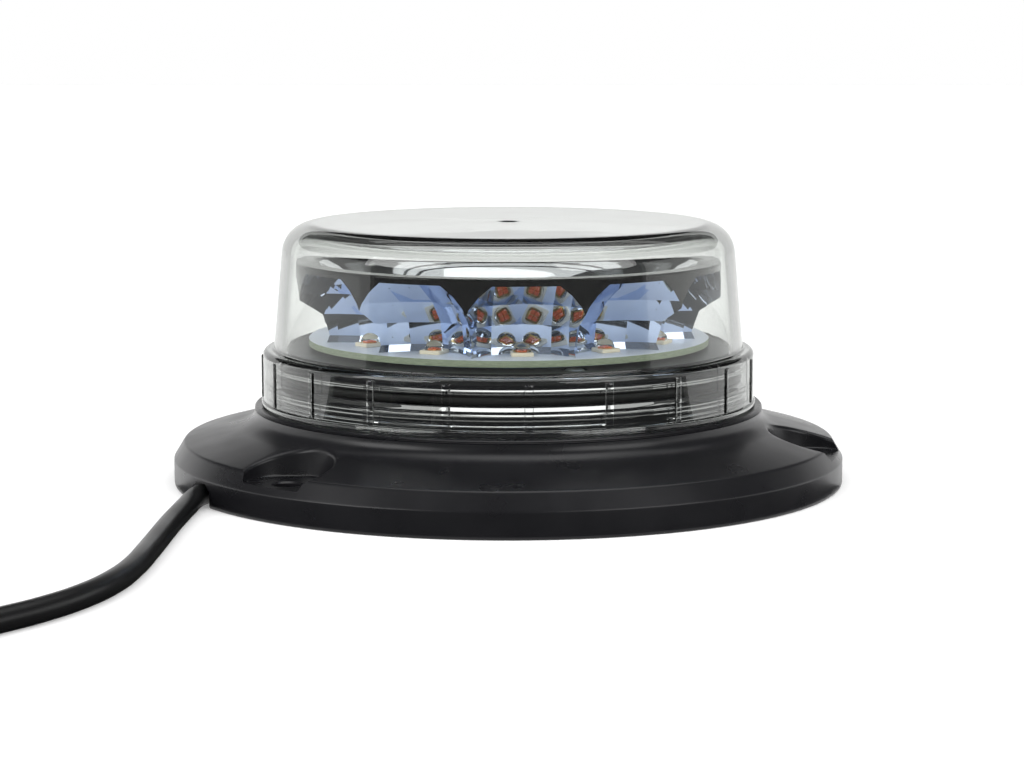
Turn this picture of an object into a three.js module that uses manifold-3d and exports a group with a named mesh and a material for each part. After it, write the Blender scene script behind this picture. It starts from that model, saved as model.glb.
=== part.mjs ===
// A low-profile LED warning beacon: a round three-bolt base, a clear lens that turns to unlock, twelve
// LEDs under a twelve-scoop reflector, the driver below them, and a cable that leaves under the rim.
// Millimetres, +Z up, origin at the centre of the mounting face, the front along -Y.
import * as THREE from "three";
import { mergeVertices } from "three/addons/utils/BufferGeometryUtils.js";
import Module from "manifold-3d";

const wasm = await Module();
wasm.setup();

// Clearances
const SLIDE_GAP = 0.3; // between pieces that turn or slide past each other
const FIT_GAP = 0.3; // between a round piece and the hole that holds it
const CUT_OVER = 1; // how far a cutter runs past the face it opens

// Base housing
const FLANGE_DIAMETER = 162;
const RIM_HEIGHT = 6.3;
const RIM_FOOT_CHAMFER = 0.8;
const RIM_CHAMFER_WIDTH = 2.5;
const RIM_CHAMFER_HEIGHT = 4.1;
const DECK_SLOPE = 0.26; // rise per millimetre of deck
const NECK_HEIGHT = 18.8; // height of the shoulder under the lens collar
const NECK_STEP = 1.8; // how far the neck stands out past the collar
const NECK_DRAFT = 0.3;
const NECK_FILLET = 4.2;
const SPIGOT_HEIGHT = 11.2; // above the shoulder
const SPIGOT_WALL = 3.4; // behind the seal's groove
const HOUSING_WALL = 2.8;
const CAVITY_RADIUS = 42; // below the shoulder, where the bottom cover closes it
const CAVITY_WALL = 5;
const WEB_THICKNESS = 2.6;

// Mounting
const BOLT_COUNT = 3;
const BOLT_INSET = 7; // from the rim in to the bolt circle
const BOLT_HOLE_DIAMETER = 6.5;
const FIRST_BOLT_ANGLE = -132;
const WELL_DIAMETER = 21;
const WELL_FLOOR = 7.9;
const WELL_WALL = 2.6;

// Lens
const COLLAR_DIAMETER = 118.8;
const COLLAR_HEIGHT = 13.2;
const COLLAR_WALL = 1.8;
const COLLAR_FOOT_BEAD = 0.4;
const COLLAR_FOOT_BEAD_HEIGHT = 1.2;
const COLLAR_TOP_RADIUS = 1.4;
const DOME_DIAMETER = 113.4;
const DOME_RISE = 30.2; // from the top of the collar to the flat top
const DOME_DRAFT = 0.089; // how much the radius shrinks per millimetre of height
const DOME_SHOULDER_RADIUS = 7.5;
const DOME_WALL = 2.4;
const GRIP_COUNT = 20;
const GRIP_WIDTH = 2;
const GRIP_PROUD = 0.4;
const GRIP_FOOT = 0.8; // bare collar below and above each grip rib
const HEAD_ANGLE = -85.5; // the ribs, the LEDs and the scoops line up on this angle

// Twist lock between lens and spigot
const LUG_COUNT = 3;
const LUG_ARC = 16; // lens lug, in degrees
const KEEPER_ARC = 22; // lug of the base that holds the lens lug down
const LUG_HEIGHT = 2;
const LUG_ABOVE_SHOULDER = 1.6;
const KEEPER_DEPTH = 1;
const KEEPER_HEIGHT = 1.6;
const FIRST_LUG_ANGLE = -60;

// Seal
const SEAL_THICKNESS = 2;
const SEAL_ABOVE_SHOULDER = 8.1;
const SEAL_BORE_GAP = 0.5; // lens bore over the spigot
const LUG_OVER_BORE = 0.1; // the lens lugs pass over the seal by this much more than the bore

// Plate that closes the spigot and draws the heat from the LED board
const PLATE_HEIGHT = 2.6; // above the spigot
const PLATE_INSET = 2.9; // from the spigot's edge
const PLATE_STEP = 1.2; // how far the plate reaches down into the spigot

// LED board, reflector and LEDs
const PAD_THICKNESS = 0.8;
const PAD_DIAMETER = 88;
const BOARD_DIAMETER = 96.6;
const BOARD_THICKNESS = 1.5;
const LED_COUNT = 12;
const LED_CIRCLE_RADIUS = 39;
const LED_BODY = 5;
const LED_BODY_HEIGHT = 0.9;
const LED_DOME_RADIUS = 2.2;
const REFLECTOR_DIAMETER = 102.6;
const REFLECTOR_HEIGHT = 18.7;
const REFLECTOR_WALL = 1.5;
const CEILING_THICKNESS = 1.6; // over the flat top of each scoop
const SCOOP_FOCUS = 4.2; // focal length of each scoop, with the LED at its focus
const SCOOP_SETBACK = 4.3; // from the LED in to the scoop's deepest line
const SCOOP_AXIS_HEIGHT = 2.6; // of the focus above the board
const FACET_WIDTH = 6.8;
const SIDE_FACET_WIDTH = 3.6;
const FACET_ROWS = 3;
const ROW_HEIGHT = 5.15;
const LIP_CHAMFER = 0.4;

// Screws
const SCREW_COUNT = 3;
const SCREW_DIAMETER = 3;
const SCREW_HEAD_DIAMETER = 5.6;
const SCREW_HEAD_HEIGHT = 1.6;
const SCREW_DRIVE_DEPTH = 0.8;
const PLATE_SCREW_LENGTH = 8;
const SCREW_BOSS_WALL = 2;
const BOSS_SINK = 0.8; // of a screw boss into the wall beside it
const REFLECTOR_SCREW_LENGTH = 7;
const REFLECTOR_SCREW_RADIUS = 22;
const REFLECTOR_SCREW_ANGLE = 90;
const DRIVER_SCREW_LENGTH = 6;
const COVER_SCREW_LENGTH = 8;
const PLATE_SCREW_ANGLE = 48;
const COVER_SCREW_ANGLE = 0;

// Driver
const DRIVER_SEAT = 2.4; // of the driver board on the ledge of the cavity
const DRIVER_THICKNESS = 1.6;
const INDUCTOR_PLACE = [12, -6];
const CAPACITOR_PLACES = [[10, 11], [-1, 17]];
const CONTROLLER_PLACE = [-4, -17];
const COIL_CORE_RADIUS = 6;
const COIL_CORE_HEIGHT = 7;
const CAPACITOR_RADIUS = 4;
const CAPACITOR_HEIGHT = 9;
const CHIP_WIDTH = 8;
const CHIP_HEIGHT = 1.4;
const TERMINAL_LENGTH = 12;
const TERMINAL_WIDTH = 8;
const PIN_DIAMETER = 1.8;
const PIN_SPACING = 6;

// Bottom cover
const COVER_THICKNESS = 2.4;
const COVER_ABOVE_FLOOR = 1.4;
const COVER_RIM_OVERLAP = 2; // of the cover over the cavity's ledge
const COVER_RECESS = 0.8;
const COVER_RECESS_RIM = 3;
const GASKET_THICKNESS = 1;
const VENT_RADIUS = 5;
const VENT_STEM_RADIUS = 3;
const VENT_HEIGHT = 1;
const VENT_OFFSET = 14;

// Cable
const CABLE_DIAMETER = 5;
const CABLE_LIFT = 0.1; // the cable's underside above the floor
const GLAND_ANGLE = 200;
const GLAND_HEIGHT = 8.8;
const GLAND_NECK_WALL = 0.8;
const GLAND_FLANGE_RADIUS = 5;
const GLAND_FLANGE_THICKNESS = 1.6;
const GLAND_TAIL_LENGTH = 3;
const GLAND_TIP_WALL = 1;
const CORE_DIAMETER = 1.5;
const CORE_SPACING = 1.7;
const CORE_LENGTH = 6;
const INNER_JACKET_REACH = 6; // jacket inside the cavity
const NOTCH_GAP = 0.4;
const NOTCH_LENGTH = 26;
const FREE_CORE_LENGTH = 34;
const FREE_CORE_FAN = 0.5; // how much wider the free cores lie at their ends
const FREE_CORE_DRIFT = 1.3; // how far they drift outwards from the coil
const FREE_CORE_SINK = 2.1; // down from the coil's upper layer onto the lower one

// The coil in which the rest of the cable is put away
const COIL_CENTRE = [-136, -170];
const COIL_OUTER_RADIUS = 33.4; // of the cable's centreline
const COIL_LOOP_GAP = 0.6;
const COIL_LOOPS = 4;
const COIL_START_ANGLE = -45;
const LOOP_STEPS = 24;
const LOOP_SIDES = 6;
const CABLE_SIDES = 8;

// Facets
const ROUND = 60;
const MIDDLE = 30;
const SMALL = 16;
const TINY = 8;

// Heights and radii that follow from the sizes above
const flangeRadius = FLANGE_DIAMETER / 2;
const deckEdgeRadius = flangeRadius - RIM_CHAMFER_WIDTH;
const deckEdgeHeight = RIM_HEIGHT + RIM_CHAMFER_HEIGHT;
const collarRadius = COLLAR_DIAMETER / 2;
const neckRadius = collarRadius + NECK_STEP;
const lensFoot = NECK_HEIGHT + SLIDE_GAP;
const lensBoreRadius = collarRadius - COLLAR_WALL;
const keeperRadius = lensBoreRadius - SLIDE_GAP;
const spigotRadius = keeperRadius - KEEPER_DEPTH;
const sealBoreRadius = spigotRadius + SEAL_BORE_GAP;
const sealOuterRadius = sealBoreRadius - SLIDE_GAP;
const sealMiddleRadius = sealOuterRadius - SEAL_THICKNESS / 2;
const grooveFloorRadius = sealOuterRadius - SEAL_THICKNESS - FIT_GAP / 2;
const sealHeight = NECK_HEIGHT + SEAL_ABOVE_SHOULDER;
const lensLugRadius = sealBoreRadius + LUG_OVER_BORE;
const spigotTop = NECK_HEIGHT + SPIGOT_HEIGHT;
const spigotBoreRadius = grooveFloorRadius - SPIGOT_WALL;
const plateRadius = spigotRadius - PLATE_INSET;
const plateFoot = spigotTop - PLATE_STEP;
const plateTop = spigotTop + PLATE_HEIGHT;
const boardFoot = plateTop + PAD_THICKNESS;
const boardTop = boardFoot + BOARD_THICKNESS;
const collarTop = lensFoot + COLLAR_HEIGHT;
const lensTop = collarTop + DOME_RISE;
const domeRadius = DOME_DIAMETER / 2;
const wellRadius = WELL_DIAMETER / 2;
const boltCircleRadius = flangeRadius - BOLT_INSET;
const coverTop = COVER_ABOVE_FLOOR + COVER_THICKNESS;
const coverFace = COVER_ABOVE_FLOOR + COVER_RECESS;
const ledgeHeight = coverTop + GASKET_THICKNESS;
const coverSeatRadius = CAVITY_RADIUS + COVER_RIM_OVERLAP;
const cavityOuterRadius = CAVITY_RADIUS + CAVITY_WALL;
const driverFoot = NECK_HEIGHT;
const driverTop = driverFoot + DRIVER_THICKNESS;
const driverRadius = CAVITY_RADIUS + DRIVER_SEAT;
const screwRadius = SCREW_DIAMETER / 2;
const screwHoleRadius = screwRadius + FIT_GAP;
const headHoleRadius = SCREW_HEAD_DIAMETER / 2 + FIT_GAP;
const bossRadius = screwHoleRadius + SCREW_BOSS_WALL;
const coverScrewRadius = CAVITY_RADIUS - bossRadius + BOSS_SINK;
const plateScrewRadius = spigotBoreRadius - bossRadius + BOSS_SINK;
const plateHeadFoot = plateTop - SCREW_HEAD_HEIGHT + SLIDE_GAP / 2;
const reflectorRadius = REFLECTOR_DIAMETER / 2;
const reflectorTop = boardTop + REFLECTOR_HEIGHT;
const scoopCeiling = reflectorTop - CEILING_THICKNESS;
const scoopVertex = LED_CIRCLE_RADIUS - SCOOP_SETBACK;
const scoopAxis = boardTop + SCOOP_AXIS_HEIGHT;
const cableRadius = CABLE_DIAMETER / 2;
const cableFloor = cableRadius + CABLE_LIFT;
const glandBore = cableRadius + FIT_GAP;
const glandNeckRadius = glandBore + GLAND_NECK_WALL;
const glandHoleRadius = glandNeckRadius + FIT_GAP;
const glandTip = cavityOuterRadius + FIT_GAP + GLAND_FLANGE_THICKNESS + GLAND_TAIL_LENGTH;
const coilPitch = CABLE_DIAMETER + COIL_LOOP_GAP;

// Finishes
const FINISH = {
  housing: { color: 0x1b1c20, roughness: 0.48, metalness: 0 },
  clear: { color: 0xeef1f2, roughness: 0.05, metalness: 0, transparent: true, opacity: 0.3 },
  rubber: { color: 0x121212, roughness: 0.7, metalness: 0 },
  cable: { color: 0x17171b, roughness: 0.35, metalness: 0 },
  pad: { color: 0xb9bcc0, roughness: 0.8, metalness: 0 },
  board: { color: 0xd9dcd2, roughness: 0.4, metalness: 0 },
  driver: { color: 0x1f5a34, roughness: 0.5, metalness: 0 },
  led: { color: 0xe8d9b8, roughness: 0.2, metalness: 0 },
  mirror: { color: 0xc6d0e6, roughness: 0.08, metalness: 1 },
  metal: { color: 0xb4b7ba, roughness: 0.45, metalness: 1 },
  steel: { color: 0xa8abad, roughness: 0.35, metalness: 1 },
  ferrite: { color: 0x2b2b2c, roughness: 0.7, metalness: 0 },
  can: { color: 0x2c3136, roughness: 0.4, metalness: 0.5 },
  chip: { color: 0x17181a, roughness: 0.55, metalness: 0 },
  terminal: { color: 0x3d6f3f, roughness: 0.5, metalness: 0 },
  cover: { color: 0x232427, roughness: 0.6, metalness: 0 },
  red: { color: 0xb01d1b, roughness: 0.5, metalness: 0 },
  black: { color: 0x141415, roughness: 0.5, metalness: 0 },
  yellow: { color: 0xd8b21c, roughness: 0.5, metalness: 0 },
};

// Geometry helpers

const radians = (degrees) => (degrees * Math.PI) / 180;

function polar(radius, degrees) {
  return [radius * Math.cos(radians(degrees)), radius * Math.sin(radians(degrees))];
}

// Welds shared vertices, drops triangles that have no area, and turns the faces outwards.
function welded(geometry) {
  const bare = new THREE.BufferGeometry();
  const loose = geometry.index ? geometry.toNonIndexed() : geometry;
  bare.setAttribute("position", loose.getAttribute("position").clone());
  const merged = mergeVertices(bare, 1e-4);
  const place = merged.getAttribute("position");
  const corners = [];
  let volume = 0;
  const [a, b, c] = [new THREE.Vector3(), new THREE.Vector3(), new THREE.Vector3()];
  for (let i = 0; i < merged.index.count; i += 3) {
    const [ia, ib, ic] = [0, 1, 2].map((k) => merged.index.getX(i + k));
    if (ia === ib || ib === ic || ic === ia) continue;
    corners.push(ia, ib, ic);
    a.fromBufferAttribute(place, ia);
    b.fromBufferAttribute(place, ib);
    c.fromBufferAttribute(place, ic);
    volume += a.dot(b.cross(c));
  }
  if (volume < 0) corners.reverse();
  merged.setIndex(corners);
  return merged;
}

function solid(geometry) {
  const merged = welded(geometry);
  return new wasm.Manifold(
    new wasm.Mesh({
      numProp: 3,
      vertProperties: new Float32Array(merged.getAttribute("position").array),
      triVerts: new Uint32Array(merged.index.array),
    }),
  );
}

// A body with the same round hole right through it at each place, as a geometry.
function withHoles(body, places, radius) {
  const { min, max } = body.boundingBox();
  let drilled = body;
  for (const [x, y] of places) {
    drilled = drilled.subtract(solid(post(radius, min[2] - CUT_OVER, max[2] + CUT_OVER, x, y, TINY)));
  }
  return geometryOf(drilled);
}

function geometryOf(body) {
  const mesh = body.getMesh();
  const geometry = new THREE.BufferGeometry();
  geometry.setAttribute("position", new THREE.BufferAttribute(new Float32Array(mesh.vertProperties), 3));
  geometry.setIndex(new THREE.BufferAttribute(new Uint32Array(mesh.triVerts), 1));
  geometry.computeVertexNormals();
  return geometry;
}

// A body turned about Z from a list of [radius, height] points.
function turned(points, segments = ROUND) {
  const profile = points.map(([radius, height]) => new THREE.Vector2(radius, height));
  return new THREE.LatheGeometry(profile, segments).rotateX(Math.PI / 2);
}

function closedRing(points, segments = ROUND) {
  return turned([...points, points[0]], segments);
}

function disc(radius, foot, top, segments = ROUND) {
  return turned([[0, foot], [radius, foot], [radius, top], [0, top]], segments);
}

// A disc that stands away from the axis of the beacon.
function post(radius, foot, top, x, y, segments = SMALL) {
  return disc(radius, foot, top, segments).translate(x, y, 0);
}

function block(width, depth, foot, top, x = 0, y = 0) {
  return new THREE.BoxGeometry(width, depth, top - foot).translate(x, y, (foot + top) / 2);
}

// A slice of a ring between two angles, in degrees.
function ringSlice(inner, outer, foot, top, from, to) {
  const shape = new THREE.Shape();
  shape.absarc(0, 0, outer, radians(from), radians(to), false);
  shape.absarc(0, 0, inner, radians(to), radians(from), true);
  const options = { depth: top - foot, bevelEnabled: false, curveSegments: 4 };
  return new THREE.ExtrudeGeometry(shape, options).translate(0, 0, foot);
}

// A tube along a curve, with flat ends.
function tube(curve, radius, steps, sides) {
  const section = new THREE.Shape();
  for (let i = 0; i < sides; i += 1) {
    const [x, y] = polar(radius, (360 * (i + 0.5)) / sides);
    if (i === 0) section.moveTo(x, y);
    else section.lineTo(x, y);
  }
  return new THREE.ExtrudeGeometry(section, { steps, extrudePath: curve, bevelEnabled: false });
}

// Points of a quarter arc about a centre, from one angle to another, in degrees.
function arc(centreRadius, centreHeight, radius, from, to, steps) {
  return Array.from({ length: steps + 1 }, (_, i) => {
    const [dr, dh] = polar(radius, from + ((to - from) * i) / steps);
    return [centreRadius + dr, centreHeight + dh];
  });
}

function ofCount(count, first = 0) {
  return Array.from({ length: count }, (_, i) => first + (360 * i) / count);
}

const beacon = new THREE.Group();

function addPiece(name, geometry, finish, parent = beacon) {
  const mesh = new THREE.Mesh(geometry, new THREE.MeshStandardMaterial(FINISH[finish]));
  mesh.name = name;
  parent.add(mesh);
  return mesh;
}

// Base housing

function deckHeight(radius) {
  return deckEdgeHeight + (deckEdgeRadius - radius) * DECK_SLOPE;
}

// The concave sweep from the deck up into the neck.
function neckFillet(radius, steps) {
  const start = new THREE.Vector2(radius + NECK_FILLET, deckHeight(radius + NECK_FILLET));
  const corner = new THREE.Vector2(radius + NECK_DRAFT, deckHeight(radius));
  const end = new THREE.Vector2(radius + NECK_DRAFT, deckHeight(radius) + NECK_FILLET * 0.7);
  const curve = new THREE.QuadraticBezierCurve(start, corner, end);
  return curve.getPoints(steps).map((p) => [p.x, p.y]);
}

function housingOutline() {
  return [
    [0, 0],
    [flangeRadius - RIM_FOOT_CHAMFER, 0],
    [flangeRadius, RIM_FOOT_CHAMFER],
    [flangeRadius, RIM_HEIGHT],
    [deckEdgeRadius, deckEdgeHeight],
    ...neckFillet(neckRadius, 3),
    [neckRadius, NECK_HEIGHT],
    [0, NECK_HEIGHT],
  ];
}

// The open space under the flange. Its ceiling follows the deck.
function hollowOutline() {
  const outer = flangeRadius - HOUSING_WALL - 1;
  return [
    [cavityOuterRadius, -CUT_OVER],
    [cavityOuterRadius, deckHeight(cavityOuterRadius) - HOUSING_WALL],
    [outer - 1, deckHeight(outer - 1) - HOUSING_WALL],
    [outer, RIM_HEIGHT],
    [outer, -CUT_OVER],
  ];
}

// The space for the driver, with the seat of the bottom cover at its foot.
function cavityOutline() {
  return [
    [0, -CUT_OVER],
    [coverSeatRadius + FIT_GAP, -CUT_OVER],
    [coverSeatRadius + FIT_GAP, ledgeHeight],
    [CAVITY_RADIUS, ledgeHeight],
    [CAVITY_RADIUS, NECK_HEIGHT + CUT_OVER],
    [0, NECK_HEIGHT + CUT_OVER],
  ];
}

// A long solid that lies along one direction of the plan, from one radius to another.
function web(angle, from, to, top) {
  const plate = new THREE.BoxGeometry(to - from, WEB_THICKNESS, top - COVER_ABOVE_FLOOR);
  plate.translate((from + to) / 2, 0, (top + COVER_ABOVE_FLOOR) / 2);
  return plate.rotateZ(radians(angle));
}

// A round bar that lies along one direction of the plan at a height.
function radialBar(radius, from, to, angle, height, segments = SMALL, side = 0) {
  const bar = disc(radius, from, to, segments).rotateY(Math.PI / 2);
  return bar.translate(0, side, height).rotateZ(radians(angle));
}

function screwPlaces(circle, first) {
  return ofCount(SCREW_COUNT, first).map((angle) => polar(circle, angle));
}

const coverPlaces = screwPlaces(coverScrewRadius, COVER_SCREW_ANGLE);
const platePlaces = screwPlaces(plateScrewRadius, PLATE_SCREW_ANGLE);
const reflectorPlaces = screwPlaces(REFLECTOR_SCREW_RADIUS, REFLECTOR_SCREW_ANGLE);
const pinPlaces = [-1, 1].map((side) => [(side * PIN_SPACING) / 2, 0]);

function makeHousing() {
  const outer = solid(turned(housingOutline()));
  let body = outer.subtract(solid(closedRing(hollowOutline(), MIDDLE)));

  const bolts = ofCount(BOLT_COUNT, FIRST_BOLT_ANGLE);
  let inside = null;
  const fill = (geometry) => {
    const piece = solid(geometry);
    inside = inside ? inside.add(piece) : piece;
  };
  for (const angle of bolts) {
    const [x, y] = polar(boltCircleRadius, angle);
    fill(post(wellRadius + WELL_WALL, 0, NECK_HEIGHT, x, y, MIDDLE));
  }
  for (const angle of ofCount(BOLT_COUNT * 2, FIRST_BOLT_ANGLE)) {
    fill(web(angle, cavityOuterRadius - 1, flangeRadius - HOUSING_WALL, NECK_HEIGHT - HOUSING_WALL));
  }
  body = body.add(inside.intersect(outer));
  body = body.subtract(solid(turned(cavityOutline(), MIDDLE)));

  // The same bosses take the cover's screws from below and the driver board's from above.
  for (const [x, y] of coverPlaces) {
    const [foot, top] = [ledgeHeight - CUT_OVER, NECK_HEIGHT + CUT_OVER];
    body = body.add(solid(post(bossRadius, ledgeHeight, NECK_HEIGHT, x, y, TINY)));
    body = body.subtract(solid(post(screwHoleRadius, foot, top, x, y, TINY)));
  }
  for (const angle of bolts) {
    const [x, y] = polar(boltCircleRadius, angle);
    body = body.subtract(solid(post(wellRadius, WELL_FLOOR, NECK_HEIGHT + CUT_OVER, x, y, MIDDLE)));
    body = body.subtract(solid(post(BOLT_HOLE_DIAMETER / 2, -CUT_OVER, WELL_FLOOR + CUT_OVER, x, y)));
  }

  const [from, to] = [CAVITY_RADIUS - 2, cavityOuterRadius + 2];
  const hole = radialBar(glandHoleRadius, from, to, GLAND_ANGLE, GLAND_HEIGHT);
  return body.subtract(solid(hole)).subtract(cableNotch());
}

// The spigot stands on the shoulder. The lens turns on it, under three keepers.
function makeSpigot() {
  const grooveHalf = SEAL_THICKNESS / 2 + FIT_GAP / 2;
  const outline = [
    [spigotBoreRadius, NECK_HEIGHT],
    [spigotRadius, NECK_HEIGHT],
    [spigotRadius, sealHeight - grooveHalf],
    [grooveFloorRadius, sealHeight - grooveHalf],
    [grooveFloorRadius, sealHeight + grooveHalf],
    [spigotRadius, sealHeight + grooveHalf],
    [spigotRadius, spigotTop - 0.5],
    [spigotRadius - 0.5, spigotTop],
    [spigotBoreRadius, spigotTop],
  ];
  let body = solid(closedRing(outline));
  for (const [x, y] of platePlaces) {
    const holeFoot = plateHeadFoot - PLATE_SCREW_LENGTH - FIT_GAP;
    body = body.add(solid(post(bossRadius, NECK_HEIGHT, plateFoot, x, y, TINY)));
    body = body.subtract(solid(post(screwHoleRadius, holeFoot, plateFoot + CUT_OVER, x, y, TINY)));
  }
  for (const angle of ofCount(LUG_COUNT, FIRST_LUG_ANGLE)) {
    const shelf = NECK_HEIGHT + LUG_ABOVE_SHOULDER + LUG_HEIGHT + SLIDE_GAP;
    const half = KEEPER_ARC / 2;
    const inner = spigotRadius - 0.5;
    const shelfTop = shelf + KEEPER_HEIGHT;
    body = body.add(solid(ringSlice(inner, keeperRadius, shelf, shelfTop, angle - half, angle + half)));
    const stop = angle - LUG_ARC / 2 - 0.5;
    body = body.add(solid(ringSlice(inner, keeperRadius, NECK_HEIGHT, shelf + 0.2, stop - 2.4, stop)));
  }
  return geometryOf(body);
}

// Cable

const glandDirection = new THREE.Vector3(...polar(1, GLAND_ANGLE), 0);
const cableStart = glandDirection.clone().multiplyScalar(glandTip + SLIDE_GAP).setZ(GLAND_HEIGHT);

// The way the cable takes, from the gland to the point where the coil begins.
const CABLE_ROUTE = [
  [-52.7, -19.4, 8.55],
  [-56.2, -21.4, 7.75],
  [-59.5, -23.7, 6.4],
  [-62.4, -26.4, 4.8],
  [-65.1, -29.4, 3.5],
  [-67.4, -32.6, 2.8],
  [-69.4, -36.1, cableFloor],
  [-71.1, -40.4, cableFloor],
  [-71.9, -46, cableFloor],
  [-72.3, -53, cableFloor],
  [-72.9, -63, cableFloor],
  [-73.5, -75, cableFloor],
  [-74.0, -90, cableFloor],
  [-74.5, -105, cableFloor],
  [-75.2, -119, cableFloor],
  [-77.0, -133, cableFloor],
  [-81.0, -147, cableFloor],
  [-87.4, -160, cableFloor],
  [-95.7, -172, cableFloor],
];

// The centreline of the coil: two loops in on the floor, a climb while the spiral turns back, two out.
class CoilCurve extends THREE.Curve {
  constructor() {
    super();
    this.straight = CABLE_DIAMETER;
    this.turn = 2 * Math.PI * (COIL_OUTER_RADIUS - coilPitch * (COIL_LOOPS / 4));
    this.wound = this.turn * COIL_LOOPS;
  }

  loop(turns) {
    const reverse = COIL_LOOPS / 2 - 0.25;
    const into = Math.min(Math.max(turns - reverse, 0), 0.5);
    const shrink = Math.min(turns, reverse) + into - 2 * into * into - Math.max(turns - reverse - 0.5, 0);
    const radius = COIL_OUTER_RADIUS - coilPitch * shrink;
    const climb = THREE.MathUtils.smoothstep(into, 0, 0.5);
    const [x, y] = polar(radius, COIL_START_ANGLE - 360 * turns);
    return new THREE.Vector3(COIL_CENTRE[0] + x, COIL_CENTRE[1] + y, cableFloor + coilPitch * climb);
  }

  getPoint(t, target = new THREE.Vector3()) {
    const whole = this.wound + 2 * this.straight;
    const along = t * whole - this.straight;
    const turns = Math.min(Math.max(along / this.wound, 0), 1) * COIL_LOOPS;
    target.copy(this.loop(turns));
    const past = along - Math.min(Math.max(along, 0), this.wound);
    if (past !== 0) target.addScaledVector(this.heading(past < 0 ? 0 : COIL_LOOPS), past);
    return target;
  }

  heading(turns) {
    const [x, y] = polar(1, COIL_START_ANGLE - 360 * turns - 90);
    return new THREE.Vector3(x, y, 0);
  }
}

const coil = new CoilCurve();
const coilFace = coil.getPoint(0);
const coilHeading = coil.heading(0);

function cableCurve() {
  const out = glandDirection.clone().add(cableStart);
  const end = coilFace.clone().addScaledVector(coilHeading, -SLIDE_GAP);
  const points = [cableStart, out, ...CABLE_ROUTE.map((p) => new THREE.Vector3(...p))];
  points.push(end.clone().addScaledVector(coilHeading, -2 * CABLE_DIAMETER));
  points.push(end.clone().addScaledVector(coilHeading, -CABLE_DIAMETER), end);
  return new THREE.CatmullRomCurve3(points, false, "centripetal");
}

// The slot in the underside of the rim, along the stretch of the route that crosses it.
function cableNotch() {
  const [from, middle, to] = [6, 7, 8].map((i) => new THREE.Vector3(...CABLE_ROUTE[i]));
  const along = to.sub(from);
  const width = CABLE_DIAMETER + 2 * NOTCH_GAP + 0.8;
  const top = cableFloor + cableRadius + NOTCH_GAP;
  const shape = new THREE.Shape();
  shape.moveTo(-width / 2, -CUT_OVER);
  shape.lineTo(width / 2, -CUT_OVER);
  shape.lineTo(width / 2, top - 1.8);
  shape.lineTo(width / 2 - 1.4, top);
  shape.lineTo(-width / 2 + 1.4, top);
  shape.lineTo(-width / 2, top - 1.8);
  const length = NOTCH_LENGTH;
  const slot = new THREE.ExtrudeGeometry(shape, { depth: length, bevelEnabled: false });
  slot.translate(0, 0, -length / 2).rotateX(Math.PI / 2);
  slot.rotateZ(Math.atan2(along.y, along.x) + Math.PI / 2);
  return solid(slot.translate(middle.x, middle.y, 0));
}

// The stripped cores run on from the coil's upper end and lie down on its lower layer.
function freeCoreCurve(place) {
  const middle = coil.getPoint(1);
  const heading = coil.heading(COIL_LOOPS);
  const outwards = new THREE.Vector3(...polar(1, COIL_START_ANGLE), 0);
  const points = [SLIDE_GAP, SLIDE_GAP + 2 * CORE_DIAMETER].map((along) =>
    middle.clone().addScaledVector(heading, along).addScaledVector(outwards, place * CORE_SPACING),
  );
  for (const share of [0.3, 0.5, 0.7, 0.85, 1]) {
    const turn = (share * FREE_CORE_LENGTH + CABLE_DIAMETER) / COIL_OUTER_RADIUS;
    const angle = COIL_START_ANGLE - THREE.MathUtils.radToDeg(turn);
    const aside = place * (CORE_SPACING + FREE_CORE_FAN * share) + FREE_CORE_DRIFT * share;
    const [x, y] = polar(COIL_OUTER_RADIUS + aside, angle);
    const sink = FREE_CORE_SINK * Math.min(1, share * 1.6);
    points.push(new THREE.Vector3(COIL_CENTRE[0] + x, COIL_CENTRE[1] + y, middle.z - sink));
  }
  return new THREE.CatmullRomCurve3(points, false, "centripetal");
}

function makeGland() {
  const flangeFoot = cavityOuterRadius + FIT_GAP;
  const flangeTop = flangeFoot + GLAND_FLANGE_THICKNESS;
  const inner = CAVITY_RADIUS - FIT_GAP * 2;
  const outline = [
    [glandBore, inner - 1.2],
    [glandNeckRadius + 1, inner - 1.2],
    [glandNeckRadius + 1, inner],
    [glandNeckRadius, inner],
    [glandNeckRadius, flangeFoot],
    [GLAND_FLANGE_RADIUS, flangeFoot],
    [GLAND_FLANGE_RADIUS, flangeTop],
    [glandNeckRadius + 0.6, flangeTop + 0.8],
    [glandBore + GLAND_TIP_WALL, glandTip],
    [glandBore, glandTip],
  ];
  const gland = closedRing(outline, SMALL).rotateY(Math.PI / 2);
  return gland.translate(0, 0, GLAND_HEIGHT).rotateZ(radians(GLAND_ANGLE));
}

// The least gap between the turns of the coil, from points along its centreline.
function coilGap() {
  const each = LOOP_STEPS * 4;
  const points = coil.getPoints(COIL_LOOPS * each);
  let least = Infinity;
  points.forEach((point, i) => {
    for (const other of points.slice(i + each / 2)) {
      least = Math.min(least, point.distanceTo(other) - CABLE_DIAMETER);
    }
  });
  return least;
}

// Screws

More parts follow.
